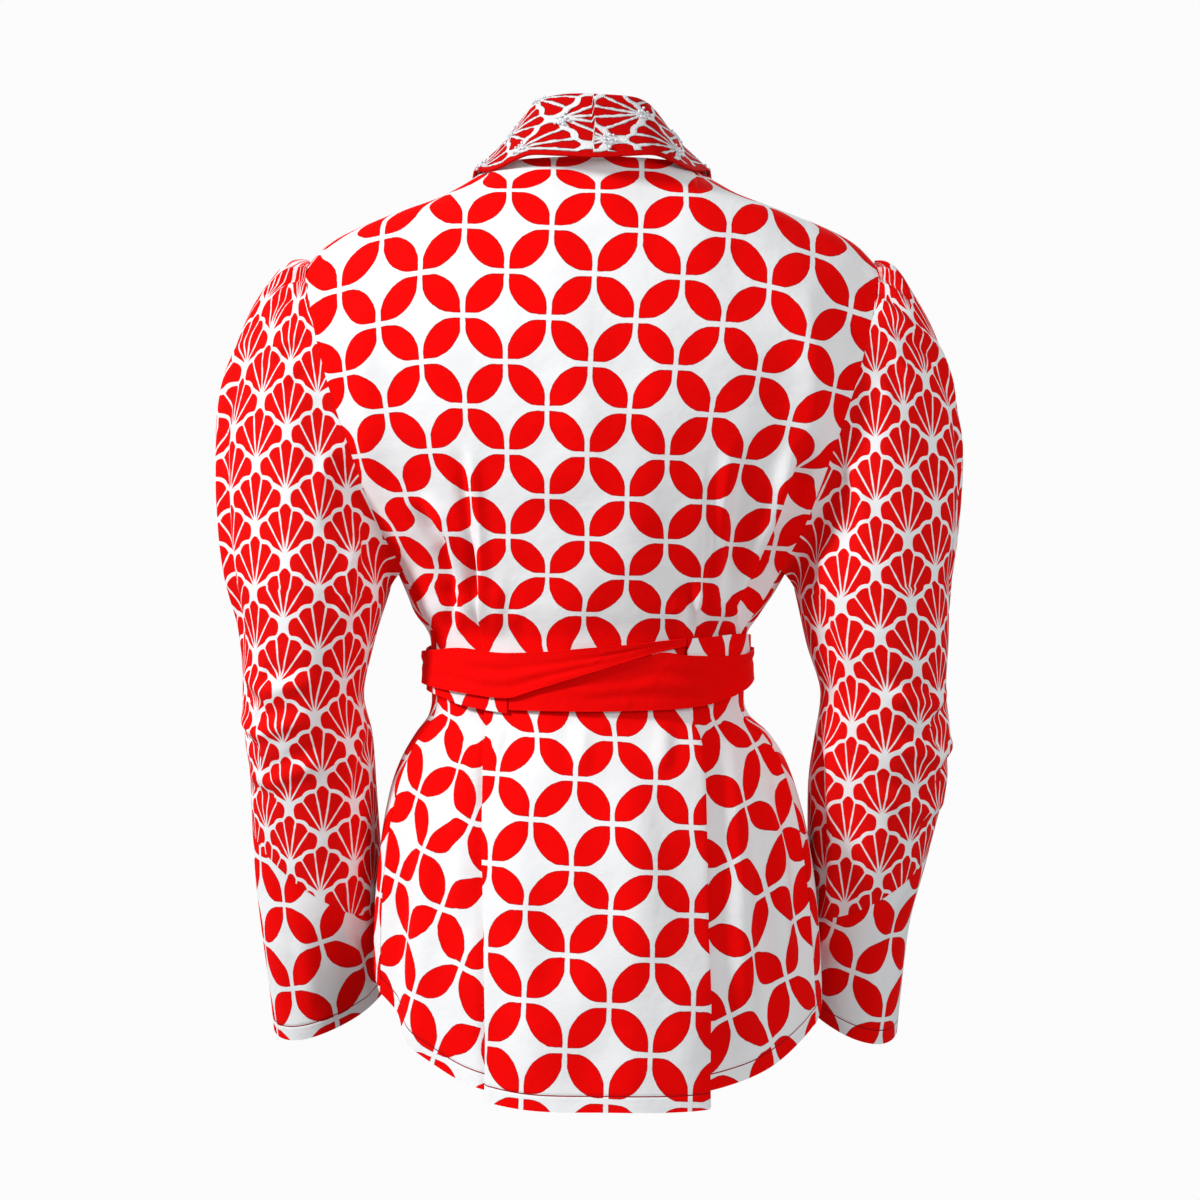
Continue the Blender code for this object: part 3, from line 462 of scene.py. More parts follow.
# ---------------------------------------------------------------- tables to curves


def column(table, columns, name):
    return [row[columns.index(name)] for row in table]


def smooth(xs, ys, x):
    """Values at x on the smooth curve through a table, with no overshoot between its rows."""
    xs, ys = np.asarray(xs, float), np.asarray(ys, float)
    if xs[0] > xs[-1]:
        xs, ys = xs[::-1], ys[::-1]
    x = np.clip(x, xs[0], xs[-1])
    slopes = np.diff(ys) / np.diff(xs)
    before, after = slopes[:-1], slopes[1:]
    same = before * after > 0
    middle = np.where(same, 2 * before * after / np.where(same, before + after, 1), 0.0)
    tangents = np.concatenate([slopes[:1], middle, slopes[-1:]])
    i = np.clip(np.searchsorted(xs, x, side="right") - 1, 0, len(xs) - 2)
    h = xs[i + 1] - xs[i]
    t = (x - xs[i]) / h
    return (
        ys[i] * (1 + 2 * t) * (1 - t) ** 2
        + ys[i + 1] * (3 - 2 * t) * t * t
        + h * tangents[i] * t * (1 - t) ** 2
        + h * tangents[i + 1] * (t - 1) * t * t
    )


def read(table, columns, name, at, key=None):
    keys = column(table, columns, key) if key else list(range(len(table)))
    return smooth(keys, column(table, columns, name), at)


def read_all(table, columns, at, key=None):
    return {name: read(table, columns, name, at, key) for name in columns}


def points(x, y, z):
    return np.stack(np.broadcast_arrays(x, y, z), axis=-1).astype(float)


def unit(v):
    return v / np.maximum(np.linalg.norm(v, axis=-1, keepdims=True), 1e-12)


# ---------------------------------------------------------------- trunk surface


def hem_height(angle, side):
    """Height of the shirt-tail hem, lowest at the centre back and centre front."""
    reach = np.where(angle <= HEM_HIGH, HEM_HIGH, pi - HEM_HIGH)
    part = np.minimum(angle, np.where(angle > HEM_HIGH, pi - angle, angle)) / reach
    lift = (0.5 - 0.5 * np.cos(pi * part)) ** 1.6
    return HEM_LOW + HEM_RISE * lift + side * HEM_LEAN * np.sin(angle) ** 4


def with_trunk_rows(rows, turn):
    """Shoulder rows, then the underarm row and the next trunk ring in the same columns."""
    joined = list(rows)
    for height in (UNDERARM, RIB_LINE):
        ring = read_all(TRUNK, TRUNK_COLUMNS, height, "height")
        depth = ring["back"] if turn == SIDE_SEAM else ring["front"]
        arm_x = ring["half"] * sin(SIDE_SEAM)
        arm_y = ring["back"] * cos(SIDE_SEAM) * (1 if turn == SIDE_SEAM else -1)
        joined.append((height, height, arm_x, depth, arm_y, degrees(turn), 1.0))
    return joined


BACK_ALL = with_trunk_rows(BACK_ROWS, SIDE_SEAM)
FRONT_ALL = with_trunk_rows(FRONT_ROWS, pi - SIDE_SEAM)
LAST_ROW = len(BACK_ROWS) + 1


def row_point(rows, row, part):
    at = read_all(rows, ROW_COLUMNS, row - 1)
    turn = radians(float(at["turn"]))
    low = cos(turn)
    if turn <= pi / 2:
        bend = np.maximum(0.0, (np.cos(part * turn) - low) / (1 - low)) ** at["swell"]
        y = at["arm_y"] + (at["mid_y"] - at["arm_y"]) * bend
    else:
        y = at["mid_y"] * np.cos(part * turn)
        y = np.where(y < 0, at["arm_y"] * np.cos(part * turn) / low, y)
    x = at["arm_x"] * np.sin(part * turn) / sin(turn)
    return points(x, y, at["mid_z"] + (at["arm_z"] - at["mid_z"]) * part * part)


def top_edge(part, back):
    """Neckline and shoulder line, on the same columns as the rows below."""
    x = SHOULDER_HALF * np.sin(part * SHOULDER_TURN) / sin(SHOULDER_TURN)
    along = np.maximum(0.0, (np.abs(x) - NECK_HALF) / (SHOULDER_HALF - NECK_HALF))
    z = read(SHOULDER_LINE, LINE_COLUMNS, "height", np.abs(x), "out")
    y = 0.004 * along * (1 if back else -1)
    if back:
        round_neck = np.sqrt(np.maximum(0.0, 1 - (x / NECK_HALF) ** 2))
        inside = np.abs(x) <= NECK_HALF
        y = np.where(inside, NECK_BACK[0] * round_neck, y)
        z = np.where(inside, SHOULDER_TOP + (NECK_BACK[1] - SHOULDER_TOP) * round_neck, z)
    return points(x, y, z)


def shoulder_point(rows, row, part, back):
    """Points of an upper row; above the first row a curve rolls over to the shoulder line."""
    if row >= 1:
        return row_point(rows, row, part)
    start, end = top_edge(part, back), row_point(rows, 1, part)
    swell = np.minimum(1, np.abs(part) / NECK_PART)[:, None] ** 2
    leave = (end - start) * 0.9 + np.array((0, 0.010, 0.008)) * swell
    arrive = (row_point(rows, 1.3, part) - row_point(rows, 1.0, part)) / 0.3
    t = row
    return (
        start * ((1 + 2 * t) * (1 - t) ** 2)
        + end * ((3 - 2 * t) * t * t)
        + leave * (t * (1 - t) ** 2)
        + arrive * ((t - 1) * t * t)
    )


def half_panel(part, row, side, back):
    """Points of one half of the back or of a front at one row, for an array of parts."""
    part = np.atleast_1d(np.asarray(part, float))
    turn = SIDE_SEAM if back else pi - SIDE_SEAM
    if row <= LAST_ROW:
        p = shoulder_point(BACK_ALL if back else FRONT_ALL, row, part, back)
        if not back:
            p[:, 1] *= -1
    else:
        angle = np.abs(part * turn if back else pi - part * turn)
        z = UNDERARM + (hem_height(angle, side) - UNDERARM) * (row - LAST_ROW)
        ring = read_all(TRUNK, TRUNK_COLUMNS, z, "height")
        depth = np.where(np.cos(angle) > 0, ring["back"], ring["front"])
        x = ring["half"] * np.sin(angle) * np.where(part >= 0, 1, -1) + side * ring["shift"]
        p = points(x, depth * np.cos(angle), z)
    p[:, 0] *= side
    return p


def rows_to_hem(upper_steps, lower_steps):
    upper = np.linspace(0, LAST_ROW, upper_steps + 1)
    return np.concatenate([upper, LAST_ROW + np.linspace(0, 1, lower_steps + 1)[1:]])


def part_at(x, row, back):
    """Fraction of the way round at which a half panel is x from the centre."""
    if row <= LAST_ROW:
        rows = BACK_ALL if back else FRONT_ALL
        turn = SHOULDER_TURN
        if row > 1:
            turn = radians(float(read(rows, ROW_COLUMNS, "turn", row - 1)))
        if row >= 1:
            reach = read(rows, ROW_COLUMNS, "arm_x", row - 1)
        else:
            first_reach = column(rows, ROW_COLUMNS, "arm_x")[0]
            reach = SHOULDER_HALF + (first_reach - SHOULDER_HALF) * row
        return float(np.arcsin(min(1.0, x * sin(turn) / reach)) / turn)
    height = UNDERARM + (HEM_LOW - UNDERARM) * (row - LAST_ROW)
    half = read(TRUNK, TRUNK_COLUMNS, "half", height, "height")
    return float(np.arcsin(min(1.0, x / half)) / (SIDE_SEAM if back else pi - SIDE_SEAM))


def front_start(row):
    """Fraction of the way round at which a front's own edge lies."""
    if row > LAST_ROW:
        height = UNDERARM + (HEM_LOW - UNDERARM) * (row - LAST_ROW)
    elif row >= 1:
        height = read(FRONT_ALL, ROW_COLUMNS, "mid_z", row - 1)
    else:
        height = SHOULDER_TOP - FRONT_FALL * row
    return part_at(float(read(FRONT_EDGE, EDGE_COLUMNS, "edge", height, "height")), row, False)


def outward(surface, part, row, sign):
    """Unit normals away from the body, of a surface given by part and row."""
    step = 0.004
    across = surface(part + step, row) - surface(part - step, row)
    down = surface(part, row + step) - surface(part, max(0, row - step))
    return unit(np.cross(across, down)) * sign


# ---------------------------------------------------------------- creases on cloth


def fade(t, ends=0.25):
    """1 along a crease, running out softly at both ends."""
    run = np.clip(np.minimum(t, 1 - t) / ends, 0, 1)
    return run * run * (3 - 2 * run)


def creased(creases, across, height, scale=1.0):
    """How far the creases push the cloth outwards."""
    push = np.zeros(np.broadcast(across, height).shape)
    for line, half, stand, trough, side in creases:
        line = np.array(line, float)
        lengths = np.linalg.norm(np.diff(line, axis=0), axis=1)
        total, run = lengths.sum(), 0.0
        nearest = np.full(push.shape, 1e9)
        place = np.zeros(push.shape)
        signed = np.zeros(push.shape)
        for a, b, length in zip(line[:-1], line[1:], lengths):
            along = (b - a) / length
            u, v = across - a[0], height - a[1]
            t = np.clip(u * along[0] + v * along[1], 0, length)
            du, dv = u - along[0] * t, v - along[1] * t
            away = np.hypot(du, dv)
            closer = away < nearest
            nearest = np.where(closer, away, nearest)
            place = np.where(closer, (run + t) / total, place)
            turned = np.sign(along[0] * v - along[1] * u) * (-1 if along[1] > 0 else 1)
            signed = np.where(closer, away * turned, signed)
            run += length
        d = signed / half
        ridge = np.exp(-d * d)
        hollow = trough * 0.8 * np.exp(-((d - 1.7 * side) / 1.1) ** 2)
        push += stand * scale * (ridge - hollow) * fade(place)
    return push


def ripple(a, b, seed):
    """Low uneven waves of soft cloth, about -1 to 1, a and b in metres."""
    return (
        np.sin(a * 71 + 1.3 * seed + 2.1 * np.sin(b * 23 + seed))
        + 0.7 * np.sin(a * 118 - b * 31 + 2.7 * seed)
        + 0.6 * np.sin(b * 64 + 1.9 * seed + 1.4 * np.sin(a * 41))
    ) / 2.3


# ---------------------------------------------------------------- cloth walls

SHARP = radians(60)
FAR_FROM_HEM = 1.0           # hem coordinate of cloth that has no stitched hem
GARMENT = bpy.data.collections.new("kebaya_looks")
bpy.context.scene.collection.children.link(GARMENT)


def in_place(piece, node=None):
    """Lets a piece ride on the blouse, and stand for its solid."""
    GARMENT.objects.link(piece)
    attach(piece, "root")
    if node:
        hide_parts(node)
    return piece


def cloth(node, grid, normals, slot, print_at, hem_at, closed_round=False, flip=False, wall=WALL):
    """A closed wall round a grid of points, with two sets of cloth coordinates.

    print_at is the place on the printed cloth and hem_at the distance to a stitched hem and
    along it. With closed_round the coordinates have one more column than the points."""
    if flip:
        grid, normals = grid[:, ::-1], normals[:, ::-1]
        print_at, hem_at = print_at[:, ::-1], hem_at[:, ::-1]
        if closed_round:
            grid, normals = np.roll(grid, 1, axis=1), np.roll(normals, 1, axis=1)
    tall, wide = grid.shape[:2]
    verts = np.concatenate([(grid + normals * wall / 2).reshape(-1, 3),
                            (grid - normals * wall / 2).reshape(-1, 3)])
    index = np.arange(tall * wide).reshape(tall, wide)
    if closed_round:
        index = np.concatenate([index, index[:, :1]], axis=1)
    spot = np.arange(index.size).reshape(index.shape)

    def quads(of):
        a, b, c, d = of[:-1, :-1], of[1:, :-1], of[1:, 1:], of[:-1, 1:]
        return a.ravel(), b.ravel(), c.ravel(), d.ravel()

    under = tall * wide
    faces, spots = [], []
    a, b, c, d = quads(index)
    p, q, r, s = quads(spot)
    faces.append(np.stack([a, d, c, b], 1))
    spots.append(np.stack([p, s, r, q], 1))
    faces.append(np.stack([a, b, c, d], 1) + under)
    spots.append(np.stack([p, q, r, s], 1))
    rims = [(index[0], spot[0], False), (index[-1], spot[-1], True)]
    if not closed_round:
        rims += [(index[:, 0], spot[:, 0], True), (index[:, -1], spot[:, -1], False)]
    for line, where, turned in rims:
        m, n, wm, wn = line[:-1], line[1:], where[:-1], where[1:]
        if turned:
            faces.append(np.stack([m, n, n + under, m + under], 1))
            spots.append(np.stack([wm, wn, wn, wm], 1))
        else:
            faces.append(np.stack([m, m + under, n + under, n], 1))
            spots.append(np.stack([wm, wm, wn, wn], 1))
    faces, spots = np.concatenate(faces), np.concatenate(spots)
    mesh = bpy.data.meshes.new(node + "_cloth")
    mesh.from_pydata(verts.tolist(), [], faces.tolist())
    for layer, values in (("print", print_at), ("hem", hem_at)):
        flat = values.reshape(-1, 2)[spots.ravel()]
        mesh.uv_layers.new(name=layer).data.foreach_set("uv", flat.ravel())
    mesh.materials.append(FINISHES[slot])
    mesh.shade_smooth()
    mesh.set_sharp_from_angle(angle=SHARP)
    return in_place(bpy.data.objects.new(node + "_cloth", mesh), node)


def grid_normals(grid, closed_round=False):
    if closed_round:
        across = np.roll(grid, -1, axis=1) - np.roll(grid, 1, axis=1)
    else:
        across = np.gradient(grid, axis=1)
    return unit(np.cross(across, np.gradient(grid, axis=0)))


def along_rows(grid):
    """Distance along each row from its first column."""
    steps = np.linalg.norm(np.diff(grid, axis=1), axis=2)
    return np.concatenate([np.zeros((len(grid), 1)), np.cumsum(steps, axis=1)], axis=1)


def along_columns(grid, start=0):
    """Distance down each column, 0 at the start row."""
    steps = np.linalg.norm(np.diff(grid, axis=0), axis=2)
    down = np.concatenate([np.zeros((1, grid.shape[1])), np.cumsum(steps, axis=0)])
    return down - down[start]


# ---------------------------------------------------------------- shader arithmetic


class Field:
    """A number in a material, with ordinary arithmetic."""

    def __init__(self, tree, socket):
        self.tree, self.socket = tree, socket

    def __add__(self, other):
        return calc("ADD", self, other)

    __radd__ = __add__

    def __sub__(self, other):
        return calc("SUBTRACT", self, other)

    def __rsub__(self, other):
        return calc("SUBTRACT", other, self)

    def __mul__(self, other):
        return calc("MULTIPLY", self, other)

    def __truediv__(self, other):
        return calc("DIVIDE", self, other)


def calc(operation, *values):
    """One Math node on fields and plain numbers."""
    tree = next(value.tree for value in values if isinstance(value, Field))
    node = tree.nodes.new("ShaderNodeMath")
    node.operation = operation
    for slot, value in zip(node.inputs, values):
        if isinstance(value, Field):
            tree.links.new(value.socket, slot)
        else:
            slot.default_value = value
    return Field(tree, node.outputs[0])


def step(low, high, value):
    """0 below low, 1 above high, smooth between."""
    node = value.tree.nodes.new("ShaderNodeMapRange")
    node.interpolation_type = "SMOOTHSTEP"
    value.tree.links.new(value.socket, node.inputs["Value"])
    node.inputs["From Min"].default_value = low
    node.inputs["From Max"].default_value = high
    return Field(value.tree, node.outputs["Result"])


def mixed(share, low, high):
    return share * (high - low) + low


def noise(tree, vector, scale, detail=2.0, stretch=(1, 1, 1)):
    """Noise from about 0 to 1 on a vector socket."""
    scaled = tree.nodes.new("ShaderNodeMapping")
    scaled.inputs["Scale"].default_value = stretch
    tree.links.new(vector, scaled.inputs["Vector"])
    node = tree.nodes.new("ShaderNodeTexNoise")
    node.inputs["Scale"].default_value = scale
    node.inputs["Detail"].default_value = detail
    tree.links.new(scaled.outputs["Vector"], node.inputs["Vector"])
    return Field(tree, node.outputs["Fac"])


def coordinates(tree, layer):
    node = tree.nodes.new("ShaderNodeUVMap")
    node.uv_map = layer
    apart = tree.nodes.new("ShaderNodeSeparateXYZ")
    tree.links.new(node.outputs["UV"], apart.inputs[0])
    return Field(tree, apart.outputs["X"]), Field(tree, apart.outputs["Y"])


def colours(share, low, high):
    """A colour between two colours or sockets."""
    tree = share.tree
    node = tree.nodes.new("ShaderNodeMix")
    node.data_type = "RGBA"
    tree.links.new(share.socket, node.inputs["Factor"])
    for slot, value in ((node.inputs[6], low), (node.inputs[7], high)):
        if isinstance(value, tuple):
            slot.default_value = (*value, 1)
        else:
            tree.links.new(value, slot)
    return node.outputs[2]


WHITE = (0.86, 0.865, 0.88)
RED = (0.78, 0.0035, 0.003)
THREAD = (0.30, 0.004, 0.008)
PETAL_RIM = (0.34, 0.0010, 0.0008)    # the dye is darker along the edge of a petal
PLAIN_EDGE = (0.0030, 0.0042)         # where the embroidery starts, in from the collar's edge


def petals(u, v):
    """How far inside a petal a place is, in metres; u and v count flowers across and down."""
    a = calc("ABSOLUTE", calc("FRACT", u + v) - 0.5)
    b = calc("ABSOLUTE", calc("FRACT", u - v) - 0.5)
    far, near = calc("MAXIMUM", a, b), calc("MINIMUM", a, b)
    reach = calc("SQRT", calc("POWER", PETAL_CENTRE - far, 2) + near * near)
    side = (PETAL_ROUND - reach) * FLOWER_SLANT
    bar = (far - near) * (sin(radians(45)) * FLOWER_SLANT) - PETAL_GAP
    return calc("SMOOTH_MIN", side, bar, PETAL_CORNER)


def fan(x, y, rib, k):
    """How far inside a fan's edge, and inside its ribs and borders, a place is."""
    turn = calc("ABSOLUTE", calc("ARCTAN2", x, y))
    reach = calc("SQRT", x * x + y * y)
    lobe = turn * LOBES[0] - turn * turn * LOBES[1]
    lobes_here = LOBES[0] - turn * (2 * LOBES[1])
    from_rib = calc("ABSOLUTE", calc("FRACT", lobe) - 0.5) / lobes_here * reach
    border = FAN_BORDER - (FAN_TURN - turn) * reach
    notch = 1 - calc("ABSOLUTE", calc("COSINE", lobe * pi))
    peak = calc("EXPONENT", turn * turn * -FAN_PEAK[1]) * (FAN_PEAK[0] * k)
    edge = FAN_REACH * k + peak - turn * turn * (FAN_FALL * k) - notch * (FAN_NOTCH * k)
    return edge - reach, calc("MAXIMUM", rib - from_rib, border)


def shells(u, v, line, rib, size=SHELL):
    """How far inside the white lines of the shell print a place is, in metres; v runs up."""
    wide, tall = size
    k = tall / FAN_TALL
    ax = (calc("FRACT", u / wide + 0.5) - 0.5) * wide
    ay = calc("FRACT", v / tall) * tall
    bx = (calc("FRACT", u / wide) - 0.5) * wide
    by = calc("FRACT", v / tall + 0.5) * tall
    lower = calc("GREATER_THAN", ay, by)
    lx, ly = mixed(lower, bx, ax), mixed(lower, by, ay)
    ux, uy = mixed(lower, ax, bx), mixed(lower, ay, by)
    inside, low_rib = fan(lx, ly, rib, k)
    beyond, up_rib = fan(ux, uy, rib, k)
    low_white = calc("MAXIMUM", line - inside, low_rib)
    up_white = calc("MAXIMUM", line - beyond, up_rib)
    return mixed(step(-0.0002, 0.0002, inside), up_white, low_white)


def cotton(name, ground, weave=1.0):
    """A matt plain-weave cotton. ground(tree, u, v, place) gives its colour and extra height."""
    made = bpy.data.materials.new(name)
    made.use_nodes = True
    tree = made.node_tree
    surface = tree.nodes["Principled BSDF"]
    surface.inputs["Roughness"].default_value = 0.88
    surface.inputs["Specular IOR Level"].default_value = 0.06
    u, v = coordinates(tree, "print")
    place = tree.nodes.new("ShaderNodeTexCoord").outputs["Object"]
    colour, height = ground(tree, u, v, place)
    slubs = noise(tree, place, 260, 3.0, (1.0, 1.0, 7.0))
    crumple = noise(tree, place, 38, 3.0)
    shade = 0.955 + slubs * 0.05 + crumple * 0.04
    tinted = tree.nodes.new("ShaderNodeVectorMath")
    tinted.operation = "SCALE"
    tree.links.new(colour, tinted.inputs[0])
    tree.links.new(shade.socket, tinted.inputs["Scale"])
    tree.links.new(tinted.outputs[0], surface.inputs["Base Color"])
    bump = tree.nodes.new("ShaderNodeBump")
    bump.inputs["Strength"].default_value = 1.0
    bump.inputs["Distance"].default_value = 1.0
    relief = height + slubs * (0.00018 * weave) + crumple * (0.0016 * weave)
    tree.links.new(relief.socket, bump.inputs["Height"])
    tree.links.new(bump.outputs["Normal"], surface.inputs["Normal"])
    return made


def stitched(tree, colour, relief):
    """Adds the stitch line that runs above a hem."""
    away = coordinates(tree, "hem")[0]
    off = calc("ABSOLUTE", away - STITCH_UP)
    line = 1 - step(0.00030, 0.00060, off)
    pull = 1 - step(0.0004, 0.0022, off)
    return colours(line, colour, THREAD), relief - pull * 0.00030


def petal_ground(tree, u, v, place):
    wobble = noise(tree, place, 150, 2.0) - 0.5
    inside = petals(u, v) + wobble * 0.0011
    red = step(-0.00025, 0.00025, inside)
    uneven = noise(tree, place, 22, 2.0)
    dye = colours(uneven, (0.80, 0.0006, 0.0004), (0.92, 0.0010, 0.0006))
    rim = 1 - step(0.0002, 0.0010, inside)
    dye = colours(rim * 0.75, dye, PETAL_RIM)
    return stitched(tree, colours(red, WHITE, dye), 0.0)


def shell_ground(tree, u, v, place):
    wobble = noise(tree, place, 140, 2.0) - 0.5
    lines = shells(u, v, 0.0028, 0.00052) + wobble * 0.0008
    white = step(-0.0002, 0.0002, lines)
    return stitched(tree, colours(white, RED, WHITE), 0.0)


def bead_ground(tree, u, v, place):
    wobble = noise(tree, place, 170, 3.0) - 0.5
    lines = shells(u, v, 0.0040, 0.0010, COLLAR_SHELL) + wobble * 0.0022
    off_edge = step(*PLAIN_EDGE, coordinates(tree, "hem")[0])
    white = step(-0.0003, 0.0003, lines) * off_edge
    threads = noise(tree, place, 900, 2.0)
    cord = calc("MINIMUM", calc("MAXIMUM", lines + 0.0006, 0.0), 0.0020)
    relief = calc("SQRT", cord) * 0.040 * off_edge + threads * white * 0.0009
    pale = colours(threads, (0.72, 0.71, 0.73), (0.92, 0.92, 0.94))
    return colours(white, (0.56, 0.0008, 0.0008), pale), relief


def red_ground(tree, u, v, place):
    uneven = noise(tree, place, 16, 2.0)
    return colours(uneven, (0.80, 0.0008, 0.0006), (0.90, 0.0010, 0.0006)), 0.0


FINISHES = {
    "petal_cotton": cotton("petal_cotton", petal_ground),
    "shell_cotton": cotton("shell_cotton", shell_ground),
    "beaded_shell": cotton("beaded_shell", bead_ground, 0.3),
    "red_cotton": cotton("red_cotton", red_ground, 1.1),
}
bead_glass = bpy.data.materials.new("bead_glass")
bead_glass.use_nodes = True
glass = bead_glass.node_tree.nodes["Principled BSDF"]
glass.inputs["Base Color"].default_value = (0.78, 0.79, 0.83, 1)
glass.inputs["Roughness"].default_value = 0.12
glass.inputs["Specular IOR Level"].default_value = 0.8

# ---------------------------------------------------------------- back


def looseness(part, row, z, sash):
    """1 where the cloth hangs free, 0 where the sash or a seam holds it."""
    off_sash = np.clip((np.abs(z - sash[0]) - sash[1]) / 0.03, 0, 1)
    off_side = np.clip((1 - np.abs(part)) / 0.10, 0, 1)
    return off_sash * (off_side * np.clip((row + 0.02) / 0.8, 0.1, 1))


def back_surface(part, row):
    part = np.atleast_1d(np.asarray(part, float))
    p = np.empty((len(part), 3))
    for side in (1, -1):
        chosen = part >= 0 if side > 0 else part < 0
        if chosen.any():
            p[chosen] = half_panel(np.abs(part[chosen]), row, side, True)
    return p


def flat_petals(grid, middle, start_row):
    """Where each point lies on the petal cloth, counted in flowers down from the start row."""
    across = along_rows(grid)
    across = across - across[:, middle][:, None]
    return np.stack([across / FLOWER[0], along_columns(grid, start_row) / FLOWER[1]], axis=-1)


def back_petals(grid, middle, start_row):
    """The same for the back, whose rows of flowers lie at the heights of the table."""
    across = along_rows(grid * np.array((1.0, 1.0, 0.0)))
    across = across - across[:, middle][:, None]
    down = along_columns(grid, start_row)
    far = np.clip((np.abs(grid[..., 0]) - 0.10) / 0.08, 0, 1.2) ** 1.4
    height = grid[..., 2] + SHOULDER_DROP * far * np.clip((grid[..., 2] + 0.30) / 0.18, 0, 1)
    v = read(PETAL_DOWN, PETAL_COLUMNS, "rows", height.ravel(), "height").reshape(height.shape)
    at = read_all(PETAL_DOWN, PETAL_COLUMNS, grid[:, middle, 2], "height")
    below = height < WAIST_LINE
    drop = np.where(below, ROW_DROP[1], ROW_DROP[0])
    waist = int(np.argmin(np.abs(grid[:, middle, 2] - WAIST_LINE)))
    columns = np.arange(grid.shape[1])
    for side in (1, -1):
        first = middle + side * PLEAT_COLUMN
        panel = below & (side * (columns - first) >= -PLY_COLUMNS)
        out = np.abs(across) - np.abs(across[:, first])[:, None]
        fallen = down - down[waist, first]
        turned = out * cos(SIDE_GRAIN) - fallen * sin(SIDE_GRAIN)
        lowered = fallen * cos(SIDE_GRAIN) + out * sin(SIDE_GRAIN)
        edge = np.abs(across[waist, first])
        across = np.where(panel, side * (edge + turned), across)
        v = np.where(panel, v[waist, middle] + SIDE_ROWS + lowered / FLOWER[1], v)
        drop = np.where(panel, 0.0, drop)
    u = (across - at["middle"][:, None]) / at["width"][:, None]
    return np.stack([u, v + across / FLOWER[1] * drop], axis=-1)


def hem_places(grid):
    """Distance of each point from the hem at the last row, and along it."""
    return np.stack([-along_columns(grid, len(grid) - 1), along_rows(grid)], axis=-1)


def make_back():
    inner_columns, pleat_columns, outer_columns = BACK_COLUMNS
    fold = read_all(FOLD, FOLD_COLUMNS, np.linspace(0, len(FOLD) - 1, pleat_columns))
    grid = []
    for row in rows_to_hem(*BACK_STEPS):
        height = float(back_surface(0.0, row)[0, 2])
        pleat = read_all(PLEAT, PLEAT_COLUMNS, height, "height")
        edge = part_at(float(pleat["edge"]), row, True)
        per_metre = edge / pleat["edge"]
        last = 1 - SEAM_GAP / 2 * per_metre
        spread = fold["open_across"] + (fold["across"] - fold["open_across"]) * pleat["folded"]
        places = edge + spread * PLEAT_DEPTH * per_metre
        sunk = fold["plies"] * PLEAT_PLY * PLY_LOOSE * pleat["proud"]
        inner = np.linspace(0, places[0], inner_columns + 1)[:-1]
        out = np.linspace(0, 1, outer_columns + 1)[1:]
        outer = places[-1] + (last - places[-1]) * out
        part = np.concatenate([inner, places, outer])
        sink = np.concatenate([inner * 0, sunk, sunk[-1] * (1 - out) ** 0.5])
        part = np.concatenate([-part[:0:-1], part])
        sink = np.concatenate([sink[:0:-1], sink])
        surface = back_surface(part, row)
        normal = outward(back_surface, part, row, 1)
        x, z = surface[:, 0], surface[:, 2]
        swing = np.clip((-0.40 - z) / 0.20, 0, 1)
        push = creased(BACK_CREASES, x, z, BACK_CREASE_SCALE)
        push = push + ripple(x, z, 1.0) * (0.0012 + 0.0010 * swing)
        puff = 0.0020 * np.exp(-((z + 0.325) / 0.018) ** 2) * np.clip(np.abs(x) / 0.08, 0, 1)
        push = (push + puff) * looseness(part, row, z, BACK_SASH)
        line = surface - normal * (sink - push)[:, None]
        near_hem = np.clip((row - LAST_ROW - 0.45) / 0.55, 0, 1) ** 1.5
        for side, low, high in PANEL_ENDS:
            centre = low * (inner / places[0]) ** 2
            pleated = np.linspace(low, high, len(places))
            hung = np.concatenate([centre, pleated, high * (1 - out) ** 1.5])
            if side > 0:
                line[len(part) // 2 :, 2] += hung * near_hem
            else:
                line[: len(part) // 2 + 1, 2] += hung[::-1] * near_hem
        grid.append(line)
    grid = np.array(grid)
    grid[0, :, 1] += RIDGE_GAP
    print_at = back_petals(grid, grid.shape[1] // 2, BACK_STEPS[0])
    return cloth("back", grid, grid_normals(grid), "petal_cotton", print_at, hem_places(grid))


# ---------------------------------------------------------------- fronts


def make_front(side, node):
    def surface(part, row):
        return half_panel(part, row, side, False)

    grid = []
    for row in rows_to_hem(*FRONT_STEPS):
        start = front_start(row)
        part = np.linspace(start, 1 - FRONT_TRIM, FRONT_COLUMNS)
        base = surface(part, row)
        normal = outward(surface, part, row, -side)
        x, z = base[:, 0] * side, base[:, 2]
        off_collar = 1 - np.exp(-((part - start) / 0.35) ** 2) * (z > -0.30)
        push = creased(FRONT_CREASES, x, z) + ripple(x, z, 2.0 + side) * 0.0009
        push = push * looseness(part, row, z, FRONT_SASH) * off_collar
        line = base + normal * push[:, None]
        grid.append(line if side < 0 else line[::-1])
    grid = np.array(grid)
    grid[0, :, 1] -= RIDGE_GAP
    centre = 0 if side < 0 else grid.shape[1] - 1
    across, down = PETAL_SHIFT["front"]
    print_at = flat_petals(grid, centre, FRONT_STEPS[0]) + np.array((across * side, down))
    return cloth(node, grid, grid_normals(grid), "petal_cotton", print_at, hem_places(grid))


# ---------------------------------------------------------------- sleeves and cuffs


def armhole(turn, side):
    """The armhole, from the shoulder down the back, under the arm and up the front."""
    out = np.empty((len(turn), 3))
    for i, t in enumerate(turn):
        back = t <= 0.5
        row = LAST_ROW * (t if back else 1 - t) * 2
        out[i] = half_panel(1.0, row, side, back)[0]
    return out


